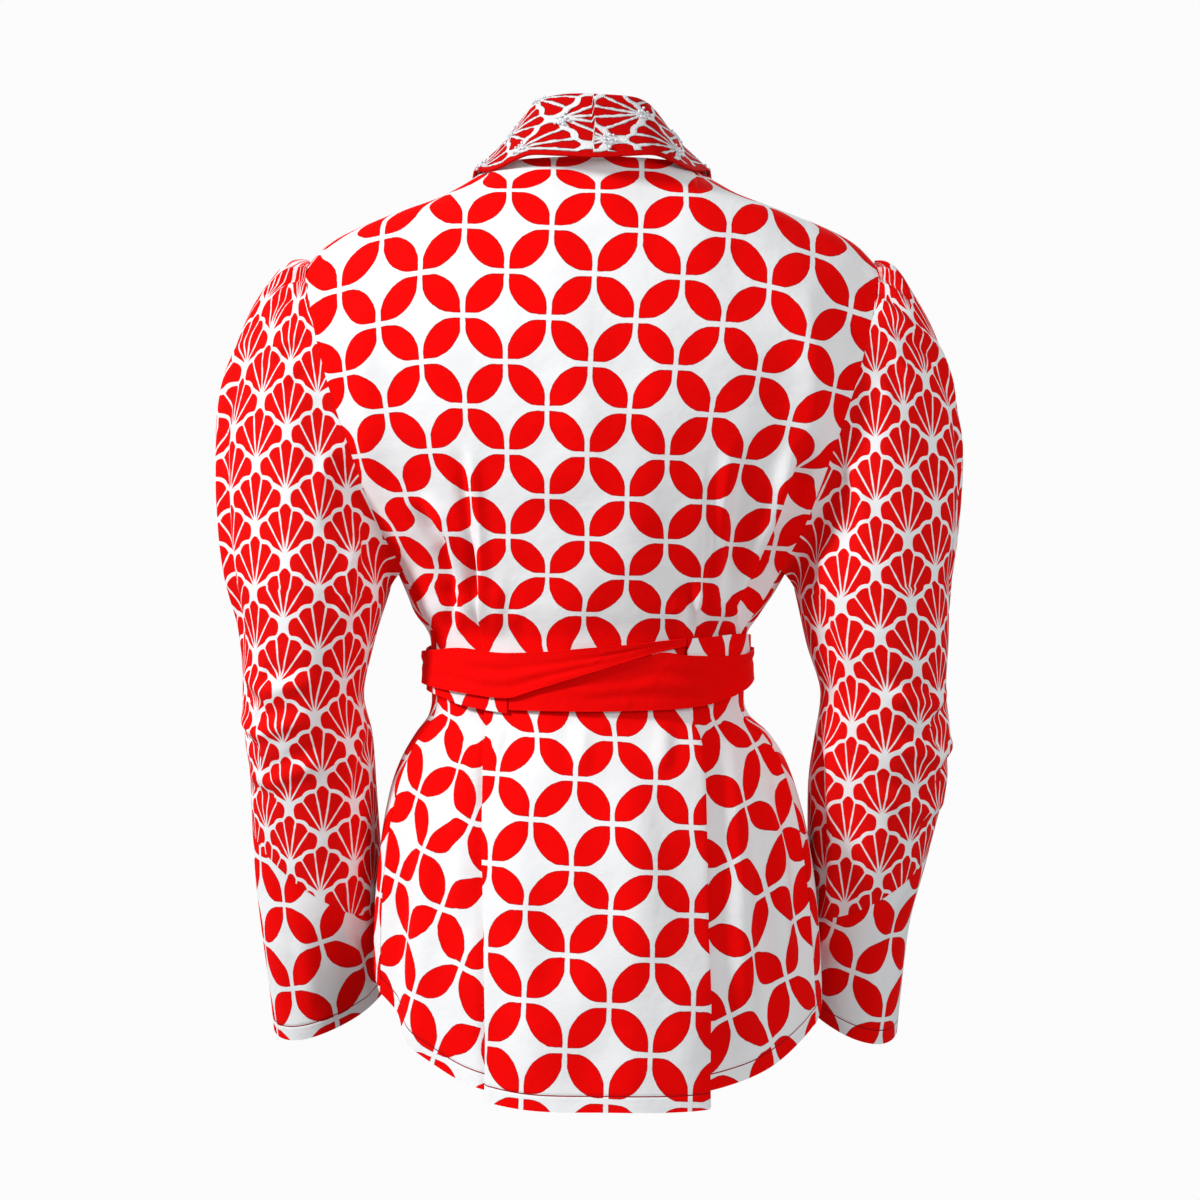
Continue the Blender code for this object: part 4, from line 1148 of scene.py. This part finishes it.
def ring(table, index, turn, side):
    """One oval round the arm, from its outer side round the back."""
    at = read_all(table, RING_COLUMNS, index)
    outer = np.array((at["out_x"], 0, at["height"]))
    inner = np.array((at["in_x"], 0, at["height"] + at["rise_in"]))
    centre = (outer + inner) / 2 + np.array((0, -at["lead"], 0))
    p = centre + (outer - inner) / 2 * np.cos(2 * pi * turn)[:, None]
    p = p + np.array((0, at["deep"], -at["tip"])) * np.sin(2 * pi * turn)[:, None]
    p[:, 0] *= side
    return p


def sleeve_head(table, along, turn, side):
    """Points round the sleeve between the armhole, along = 0, and its first ring, along = 1."""
    head = np.array(LEFT_HEAD if side > 0 else RIGHT_HEAD)
    place = turn * len(head)
    low = np.floor(place).astype(int) % len(head)
    mix = (0.5 - 0.5 * np.cos(pi * (place - np.floor(place))))[:, None]
    at = head[low] * (1 - mix) + head[(low + 1) % len(head)] * mix
    off = unit(points(side * 0.9, 0.25 * np.sin(2 * pi * turn), 0.35 * np.cos(2 * pi * turn)))
    start = armhole(turn, side) + off * SEAM_STEP
    end = ring(table, 0, turn, side)
    leave = start + points(side * at[:, 0], 0, at[:, 1])
    arrive = end + points(side * at[:, 2], 0, at[:, 3])
    t = along
    return (start * (1 - t) ** 3 + leave * (3 * t * (1 - t) ** 2)
            + arrive * (3 * t * t * (1 - t)) + end * t ** 3)


def tube(base, side, creases, gathers, seed):
    """A creased tube and its outward normals; its columns start at the arm's outer side."""
    normals = grid_normals(base, True) * -side
    run = along_rows(np.concatenate([base, base[:, :1]], axis=1))
    whole = run[:, -1:]
    behind = run[:, :-1] - whole * 0.25
    # positive from the middle of the back towards the outer side
    across = np.where(behind > whole / 2, whole - behind, -behind)
    z = base[..., 2]
    push = creased(creases, across, z) + ripple(across, z, seed) * 0.0011
    grid = base + normals * (push * gathers)[..., None]
    return grid, grid_normals(grid, True) * -side


def round_places(grid):
    """Distance round a tube from the middle of its back, with the joining column repeated."""
    run = along_rows(np.concatenate([grid, grid[:, :1]], axis=1))
    return run - run[:, -1:] * 0.25


def sleeve_place(base, first, turn, side):
    """Where each point of a sleeve lies on the shell print; up is the second coordinate."""
    around = round_places(base)
    whole = along_rows(np.concatenate([base[first], base[first, :1]])[None])[0, -1]
    head = base[: first + 1]
    middle = (head[-1].max(axis=0) + head[-1].min(axis=0)) / 2
    half = (head[-1].max(axis=0) - head[-1].min(axis=0)) / 2
    out = (head[..., 0] - middle[0]) / half[0] * side
    behind = (head[..., 1] - middle[1]) / half[1]
    angle = np.arctan2(-out, behind)
    level = np.concatenate([angle, angle[:, :1]], axis=1)
    wrapped = np.concatenate([turn, [1.0]])[None, :] * 2 * pi - pi / 2
    level = level + 2 * pi * np.round((wrapped - level) / (2 * pi))
    around[: first + 1] = level / (2 * pi) * whole
    around = around * SLEEVE_SPREAD
    down = along_columns(base, first) - base[first, :, 2][None, :]
    down[: first + 1] = -base[: first + 1, :, 2]
    down = np.concatenate([down, down[:, :1]], axis=1)
    return np.stack([around * -side, -down], axis=-1)


def make_sleeve(side, node, table, creases):
    turn = np.arange(SLEEVE_COLUMNS) / SLEEVE_COLUMNS
    head, arm = SLEEVE_STEPS
    lines = [sleeve_head(table, t, turn, side) for t in np.linspace(0, 1, head + 1)[:-1]]
    lines += [ring(table, i, turn, side) for i in np.linspace(0, CUFF_RING + 0.002, arm)]
    base = np.array(lines)
    from_head = along_columns(base)
    ease = np.clip(from_head / GATHERS["end"], 0, 1)
    low = np.clip(along_columns(base, len(lines) - 1) / -0.02, 0.15, 1)
    grid, normals = tube(base, side, creases, ease * low, 3.0 + side)
    on_top = np.exp(-(np.minimum(turn, 1 - turn) / GATHERS["round"]) ** 2)[None, :]
    wave = 0.5 * np.cos(2 * pi * (turn * GATHERS["count"] + 0.1))[None, :]
    wave = wave * np.exp(-from_head / GATHERS["end"])
    fall = np.exp(-((from_head - GATHERS["below"]) / GATHERS["long"]) ** 2)
    grid = grid + normals * (on_top * fall * wave * GATHERS["deep"])[..., None]
    normals = grid_normals(grid, True) * -side
    print_at = sleeve_place(base, head, turn, side) + np.array(SHELL_SHIFT[node])
    hem = np.full(print_at.shape, FAR_FROM_HEM)
    return cloth(node, grid, normals, "shell_cotton", print_at, hem, True, side > 0)


def make_cuff(side, node, table, creases):
    turn = np.arange(CUFF_COLUMNS) / CUFF_COLUMNS
    rings = np.linspace(CUFF_RING + 0.006, len(table) - 1, CUFF_STEPS)
    base = np.array([ring(table, i, turn, side) for i in rings])
    ease = np.clip(along_columns(base) / 0.03, 0.1, 1)
    grid, normals = tube(base, side, creases, ease, 5.0 + side)
    around = round_places(base)
    down = -along_columns(base, CUFF_STEPS - 1)
    down = np.concatenate([down, down[:, :1]], axis=1)
    shift = PETAL_SHIFT[node]
    print_at = np.stack([around * -side / FLOWER[0] + shift[0], -down / FLOWER[1] + shift[1]],
                        axis=-1)
    hem = np.stack([down, around], axis=-1)
    return cloth(node, grid, normals, "petal_cotton", print_at, hem, True, side > 0)


# ---------------------------------------------------------------- collar


def collar_line(station, side):
    """Points from the neck seam over the roll to the outer edge, at one station round the neck."""
    at = read_all(COLLAR, COLLAR_COLUMNS, station)
    seam, roll, edge = (np.array([at[part + axis] for axis in ("_x", "_y", "_z")])
                        for part in ("seam", "roll", "edge"))
    away = unit(np.array((edge[0] - seam[0], edge[1] - seam[1], 0.0))) * ROLL_ROUND
    edge[2] += EDGE_LIFT * exp(-((station - 1.4) / 0.8) ** 2)
    edge[2] -= EDGE_DROP * exp(-(station / 2.6) ** 4)
    up = np.array((0, 0, 1.0))
    line = [
        seam,
        (seam + roll) / 2,
        roll - away * 0.4,
        roll + away * 0.6 + up * 0.0008,
        roll + away * 1.8 - up * 0.0016,
        roll * 0.58 + edge * 0.42 + away,
        edge,
    ]
    return np.array(line) * np.array((side, 1, 1))


def lapel_line(lapel, side):
    """The same for the part of the collar that lies on a front."""
    def surface(part, row):
        return half_panel(part, row, side, False)

    at = dict(zip(LAPEL_COLUMNS, lapel))
    row = at["row"]
    start = front_start(row)
    inwards = (surface(start, row) - surface(start + 0.02, row))[0]
    per_metre = 0.02 / np.linalg.norm(inwards)
    arch = np.array(ARCH)
    part = start + arch[:, 0] * at["width"] * per_metre
    off = outward(surface, part, row, -side) * (LAPEL_LIFT + at["stand"] * arch[:, 1:2])
    return surface(part, row) + off + unit(inwards) * at["lean"] * arch[:, 2:3]


def through(values, at):
    """Smooth curve through rows of points, at places counted in rows."""
    keys = np.arange(len(values))
    flat = values.reshape(len(values), -1)
    out = np.stack([smooth(keys, flat[:, k], at) for k in range(flat.shape[1])], axis=-1)
    return out.reshape(len(at), *values.shape[1:])


def make_collar():
    halves = {}
    for side in (1, -1):
        lines = [collar_line(station, side) for station in COLLAR_STATIONS]
        lines += [lapel_line(lapel, side) for lapel in LAPEL]
        halves[side] = np.array(lines)
    rough = np.concatenate([halves[1][::-1], halves[-1][1:]])[:, ::-1]
    grid = through(rough, np.linspace(0, len(rough) - 1, COLLAR_STEPS))
    slices = np.linspace(0, rough.shape[1] - 1, COLLAR_SLICES)
    grid = through(grid.transpose(1, 0, 2), slices).transpose(1, 0, 2)
    normals = grid_normals(grid)
    grid = grid + normals * (ripple(grid[..., 0], grid[..., 2], 4.0) * 0.0006)[..., None]
    normals = grid_normals(grid)
    centre = COLLAR_STEPS // 2
    along = np.abs(along_columns(grid, centre)[:, COLLAR_LENGTH_AT])[:, None]
    along = along * np.ones(COLLAR_SLICES)
    from_edge = along_rows(grid)
    from_roll = from_edge[:, COLLAR_ROLL][:, None] - from_edge
    left = np.arange(COLLAR_STEPS)[:, None] <= centre
    (left_in, left_along), (right_in, right_along) = COLLAR_SHIFT
    u = np.where(left, from_roll - left_in, from_roll - right_in)
    v = np.where(left, left_along - along, right_along - along)
    print_at = np.stack([u, v], axis=-1)
    hem = np.stack([from_edge, along], axis=-1)
    made = cloth("collar", grid, normals, "beaded_shell", print_at, hem, wall=COLLAR_WALL)
    return made, bead_places(grid, normals, print_at)


def bead_places(grid, normals, print_at):
    """Rosettes of beads where the fans of the embroidery start, on the outer face of the fall."""
    wide, tall = COLLAR_SHELL
    centre = len(grid) // 2
    fall = np.arange(grid.shape[1])[None, :] < FALL_SLICES
    beads = []
    for half in (np.arange(len(grid)) <= centre, np.arange(len(grid)) > centre):
        shown = half[:, None] & fall
        for i in range(-3, 4):
            for j in range(-24, 4):
                foot = np.array((i * wide / 2, (j + (i % 2) / 2) * tall))
                gap = np.linalg.norm(print_at - foot, axis=-1)
                gap[~shown] = 1
                at = np.unravel_index(gap.argmin(), gap.shape)
                if gap[at] < ROSETTE_REACH:
                    beads += rosette(grid[at], normals[at], i + 7 * j)
    return beads


def rosette(place, normal, seed):
    """Places of the beads of one rosette, in a loose spiral on the face of the cloth."""
    if np.dot(normal, place * np.array((1, 1, 0))) < 0:
        normal = -normal
    across = unit(np.cross(normal, (0.2, 0.1, 1.0)))
    upwards = np.cross(normal, across)
    on_face = place + normal * (COLLAR_WALL / 2 + BEAD_LIFT)
    beads = []
    for k in range(ROSETTE_BEADS):
        turn = 2.4 * k + seed
        reach = 0.0019 * sqrt(k) * (1.0 + 0.15 * sin(3.1 * k + seed))
        beads.append(on_face + across * reach * cos(turn) + upwards * reach * sin(turn))
    return beads


def make_beads(places):
    """One small glass bead on every place, by Geometry Nodes."""
    mesh = bpy.data.meshes.new("bead_places")
    mesh.from_pydata([tuple(p) for p in places], [], [])
    carrier = bpy.data.objects.new("bead_places", mesh)
    GARMENT.objects.link(carrier)
    tree = bpy.data.node_groups.new("collar_beads", "GeometryNodeTree")
    ports = tree.interface
    ports.new_socket("Geometry", in_out="INPUT", socket_type="NodeSocketGeometry")
    radius = ports.new_socket("Bead radius", in_out="INPUT", socket_type="NodeSocketFloat")
    radius.default_value = BEAD_RADIUS
    ports.new_socket("Geometry", in_out="OUTPUT", socket_type="NodeSocketGeometry")
    enter = tree.nodes.new("NodeGroupInput")
    leave = tree.nodes.new("NodeGroupOutput")
    ball = tree.nodes.new("GeometryNodeMeshIcoSphere")
    ball.inputs["Subdivisions"].default_value = 2
    spread = tree.nodes.new("GeometryNodeInstanceOnPoints")
    real = tree.nodes.new("GeometryNodeRealizeInstances")
    paint = tree.nodes.new("GeometryNodeSetMaterial")
    paint.inputs["Material"].default_value = bead_glass
    uneven = tree.nodes.new("FunctionNodeRandomValue")
    uneven.inputs[2].default_value = BEAD_SIZES[0]
    uneven.inputs[3].default_value = BEAD_SIZES[1]
    uneven.inputs["Seed"].default_value = 4
    for source, target in (
        (enter.outputs["Geometry"], spread.inputs["Points"]),
        (enter.outputs["Bead radius"], ball.inputs["Radius"]),
        (ball.outputs["Mesh"], spread.inputs["Instance"]),
        (uneven.outputs[1], spread.inputs["Scale"]),
        (spread.outputs["Instances"], real.inputs["Geometry"]),
        (real.outputs["Geometry"], paint.inputs["Geometry"]),
        (paint.outputs["Geometry"], leave.inputs["Geometry"]),
    ):
        tree.links.new(source, target)
    grown = carrier.modifiers.new("beads", "NODES")
    grown.node_group = tree
    evaluated = carrier.evaluated_get(bpy.context.evaluated_depsgraph_get())
    ready = bpy.data.meshes.new_from_object(evaluated)
    ready.name = "collar_beads"
    bpy.data.objects.remove(carrier, do_unlink=True)
    ready.shade_smooth()
    return in_place(bpy.data.objects.new("collar_beads", ready))


# ---------------------------------------------------------------- sash


def make_band(node, table, steps, slot, seed):
    """A band of the sash, lofted round the waist from the first to the last row of its table."""
    start, end = table[0][0], table[-1][0]
    way = 1 if end > start else -1
    angles = np.linspace(start, end, steps)
    share = np.linspace(0, 1, BAND_COLUMNS_ACROSS)[None, :]
    at = read_all(table, BAND_COLUMNS, angles, "angle")
    half, back, front = WAIST
    turn = np.radians(angles)
    depth = np.where(np.cos(turn) > 0, back, front) + at["out"]
    height = at["top"][:, None] + (at["bottom"] - at["top"])[:, None] * share
    x = (half + at["out"]) * np.sin(turn) + WAIST_SHIFT
    grid = points(x[:, None], (depth * np.cos(turn))[:, None], height)
    normals = grid_normals(grid) * way
    flow = angles[:, None] * way
    push = ripple(flow * 0.002, height * 3, seed) * 0.0003
    if slot == "red_cotton":
        lines = [(tuple((angle / CREASE_ANGLE, down) for angle, down in line), *sizes)
                 for line, *sizes in TIE_CREASES]
        even = np.ones_like(height)
        folded = creased(lines, flow / CREASE_ANGLE * even, share * even)
        push = folded - 0.0005 * (2 * share - 1) ** 4 + push
    grid = grid + normals * push[..., None]
    normals = grid_normals(grid) * way
    across, down = PETAL_SHIFT["band"]
    print_at = np.stack([along_columns(grid) / FLOWER[0] + across,
                         along_rows(grid) / FLOWER[1] + down], axis=-1)
    hem = np.full(print_at.shape, FAR_FROM_HEM)
    return cloth(node, grid, normals, slot, print_at, hem, flip=way < 0)


def make_tail(side, node):
    at = read_all(TAIL, TAIL_COLUMNS, np.linspace(0, len(TAIL) - 1, TAIL_STEPS))
    height = KNOT[2] - at["down"]
    ring_at = read_all(TRUNK, TRUNK_COLUMNS, height, "height")
    reach = np.maximum(ring_at["front"], SASH_FRONT) + TAIL_LIFT + (TAIL_STEP if side > 0 else 0)
    share = np.linspace(-1, 1, TAIL_COLUMNS_ACROSS)
    x = side * at["across"][:, None] + KNOT[0] + share[None, :] * at["half"][:, None]
    bend = np.sqrt(1 - (x / (ring_at["half"][:, None] + 0.02)) ** 2)
    fold = 0.0009 * np.cos(share * 7 + side)[None, :] * np.exp(-at["down"] / 0.12)[:, None]
    level = height[:, None] * np.ones_like(x)
    grid = points(x, -reach[:, None] * bend - fold, level)
    hem = np.full((*x.shape, 2), FAR_FROM_HEM)
    print_at = np.stack([x, level], axis=-1)
    return cloth(node, grid, -grid_normals(grid), "red_cotton", print_at, hem, flip=True)


def make_knot():
    tall, wide = KNOT_STEPS
    a, b = np.meshgrid(np.linspace(0, pi, tall)[1:-1], np.arange(wide) / wide * 2 * pi, indexing="ij")
    shape = points(np.sin(a) * np.cos(b), np.sin(a) * np.sin(b), np.cos(a))
    twist = shape[..., 0] * 1.1 + shape[..., 2] * 1.7
    swell = 1 + 0.045 * np.cos(twist * 4.2) * np.sin(a) ** 2 - 0.03
    grid = shape * swell[..., None] * np.array(KNOT_SIZE) + np.array(KNOT)
    verts = [tuple(p) for p in grid.reshape(-1, 3)]
    top, bottom = len(verts), len(verts) + 1
    verts += [(KNOT[0], KNOT[1], KNOT[2] + end * KNOT_SIZE[2] * 0.97) for end in (1, -1)]
    around = [(c, (c + 1) % wide) for c in range(wide)]
    faces = [
        (r * wide + c, (r + 1) * wide + c, (r + 1) * wide + n, r * wide + n)
        for r in range(len(grid) - 1)
        for c, n in around
    ]
    last = (len(grid) - 1) * wide
    for c, n in around:
        faces += [(top, c, n), (bottom, last + n, last + c)]
    mesh = bpy.data.meshes.new("sash_knot_cloth")
    mesh.from_pydata(verts, [], faces)
    for layer in ("print", "hem"):
        mesh.uv_layers.new(name=layer)
    mesh.materials.append(FINISHES["red_cotton"])
    mesh.shade_smooth()
    return in_place(bpy.data.objects.new("sash_knot_cloth", mesh), "sash_knot")


# ---------------------------------------------------------------- the blouse

back = make_back()
fronts = [make_front(1, "front_left"), make_front(-1, "front_right")]
sleeves = [make_sleeve(1, "sleeve_left", LEFT_RINGS, LEFT_SLEEVE_CREASES),
           make_sleeve(-1, "sleeve_right", RIGHT_RINGS, RIGHT_SLEEVE_CREASES)]
cuffs = [make_cuff(1, "cuff_left", LEFT_RINGS, LEFT_SLEEVE_CREASES),
         make_cuff(-1, "cuff_right", RIGHT_RINGS, RIGHT_SLEEVE_CREASES)]
collar, rosettes = make_collar()
beads = make_beads(rosettes)
sash_panel = make_band("sash_panel", SASH_PANEL, SASH_STEPS, "petal_cotton", 1.0)
upper_tie = make_band("upper_tie", UPPER_TIE, TIE_STEPS, "red_cotton", 2.0)
lower_tie = make_band("lower_tie", LOWER_TIE, TIE_STEPS, "red_cotton", 3.0)
tails = [make_tail(1, "tail_left"), make_tail(-1, "tail_right")]
make_knot()

# ---------------------------------------------------------------- studio

FLOOR = -1.3
FLOOR_REACH = 6.0
CURVE_UP = 3.0
WALL_TOP = 7.0
FLOOR_SIDES = 64
GLOW = (0.36, 0.97)          # light that the backdrop gives the blouse, and that the eye sees
MIDDLE = (0, 0, -0.3)
LAMPS = (                    # name, place, size, power
    ("key", (3.0, 1.6, 1.5), 0.7, 134),
    ("fill", (-2.2, 2.8, 0.6), 1.4, 40),
    ("front", (-1.2, -3.0, 1.2), 1.6, 34),
)


def backdrop():
    """A pale floor that curves up into a round wall, far from the blouse."""
    pale = bpy.data.materials.new("pale_backdrop")
    pale.use_nodes = True
    tree = pale.node_tree
    tree.nodes.remove(tree.nodes["Principled BSDF"])
    seen = tree.nodes.new("ShaderNodeLightPath").outputs["Is Camera Ray"]
    glow = tree.nodes.new("ShaderNodeEmission")
    tree.links.new(mixed(Field(tree, seen), *GLOW).socket, glow.inputs["Strength"])
    tree.links.new(glow.outputs[0], tree.nodes["Material Output"].inputs["Surface"])
    profile = [(FLOOR_REACH, FLOOR)]
    profile += [(FLOOR_REACH + CURVE_UP * sin(a), FLOOR + CURVE_UP * (1 - cos(a)))
                for a in np.radians(np.arange(15, 91, 15))]
    profile += [(FLOOR_REACH + CURVE_UP, WALL_TOP)]
    turns = [2 * pi * i / FLOOR_SIDES for i in range(FLOOR_SIDES)]
    verts = [(r * cos(a), r * sin(a), z) for r, z in profile for a in turns] + [(0, 0, FLOOR)]
    faces = []
    for i in range(FLOOR_SIDES):
        j = (i + 1) % FLOOR_SIDES
        faces.append((len(verts) - 1, i, j))
        for low in range(0, (len(profile) - 1) * FLOOR_SIDES, FLOOR_SIDES):
            high = low + FLOOR_SIDES
            faces.append((low + i, high + i, high + j, low + j))
    mesh = bpy.data.meshes.new("backdrop")
    mesh.from_pydata(verts, [], faces)
    mesh.materials.append(pale)
    mesh.shade_smooth()
    made = bpy.data.objects.new("backdrop", mesh)
    bpy.context.scene.collection.objects.link(made)


backdrop()

world = bpy.data.worlds.new("white_studio")
world.use_nodes = True
sky = world.node_tree.nodes["Background"]
sky.inputs["Color"].default_value = (1, 1, 1, 1)
sky.inputs["Strength"].default_value = 0.37
bpy.context.scene.world = world

for name, place, size, power in LAMPS:
    lamp = bpy.data.lights.new(name, "AREA")
    lamp.shape = "DISK"
    lamp.size = size
    lamp.energy = power
    light = bpy.data.objects.new(name, lamp)
    light.location = place
    light.rotation_euler = (Vector(MIDDLE) - Vector(place)).to_track_quat("-Z", "Y").to_euler()
    bpy.context.scene.collection.objects.link(light)

camera_data = bpy.data.cameras.new("camera")
camera_data.sensor_width = 36.0
camera_data.lens = 122.45
camera = bpy.data.objects.new("camera", camera_data)
camera.location = (-0.0059, 3.0, -0.3146)
camera.rotation_euler = (radians(90), 0, radians(180))
bpy.context.scene.collection.objects.link(camera)
bpy.context.scene.camera = camera
bpy.context.scene.view_settings.view_transform = "Standard"
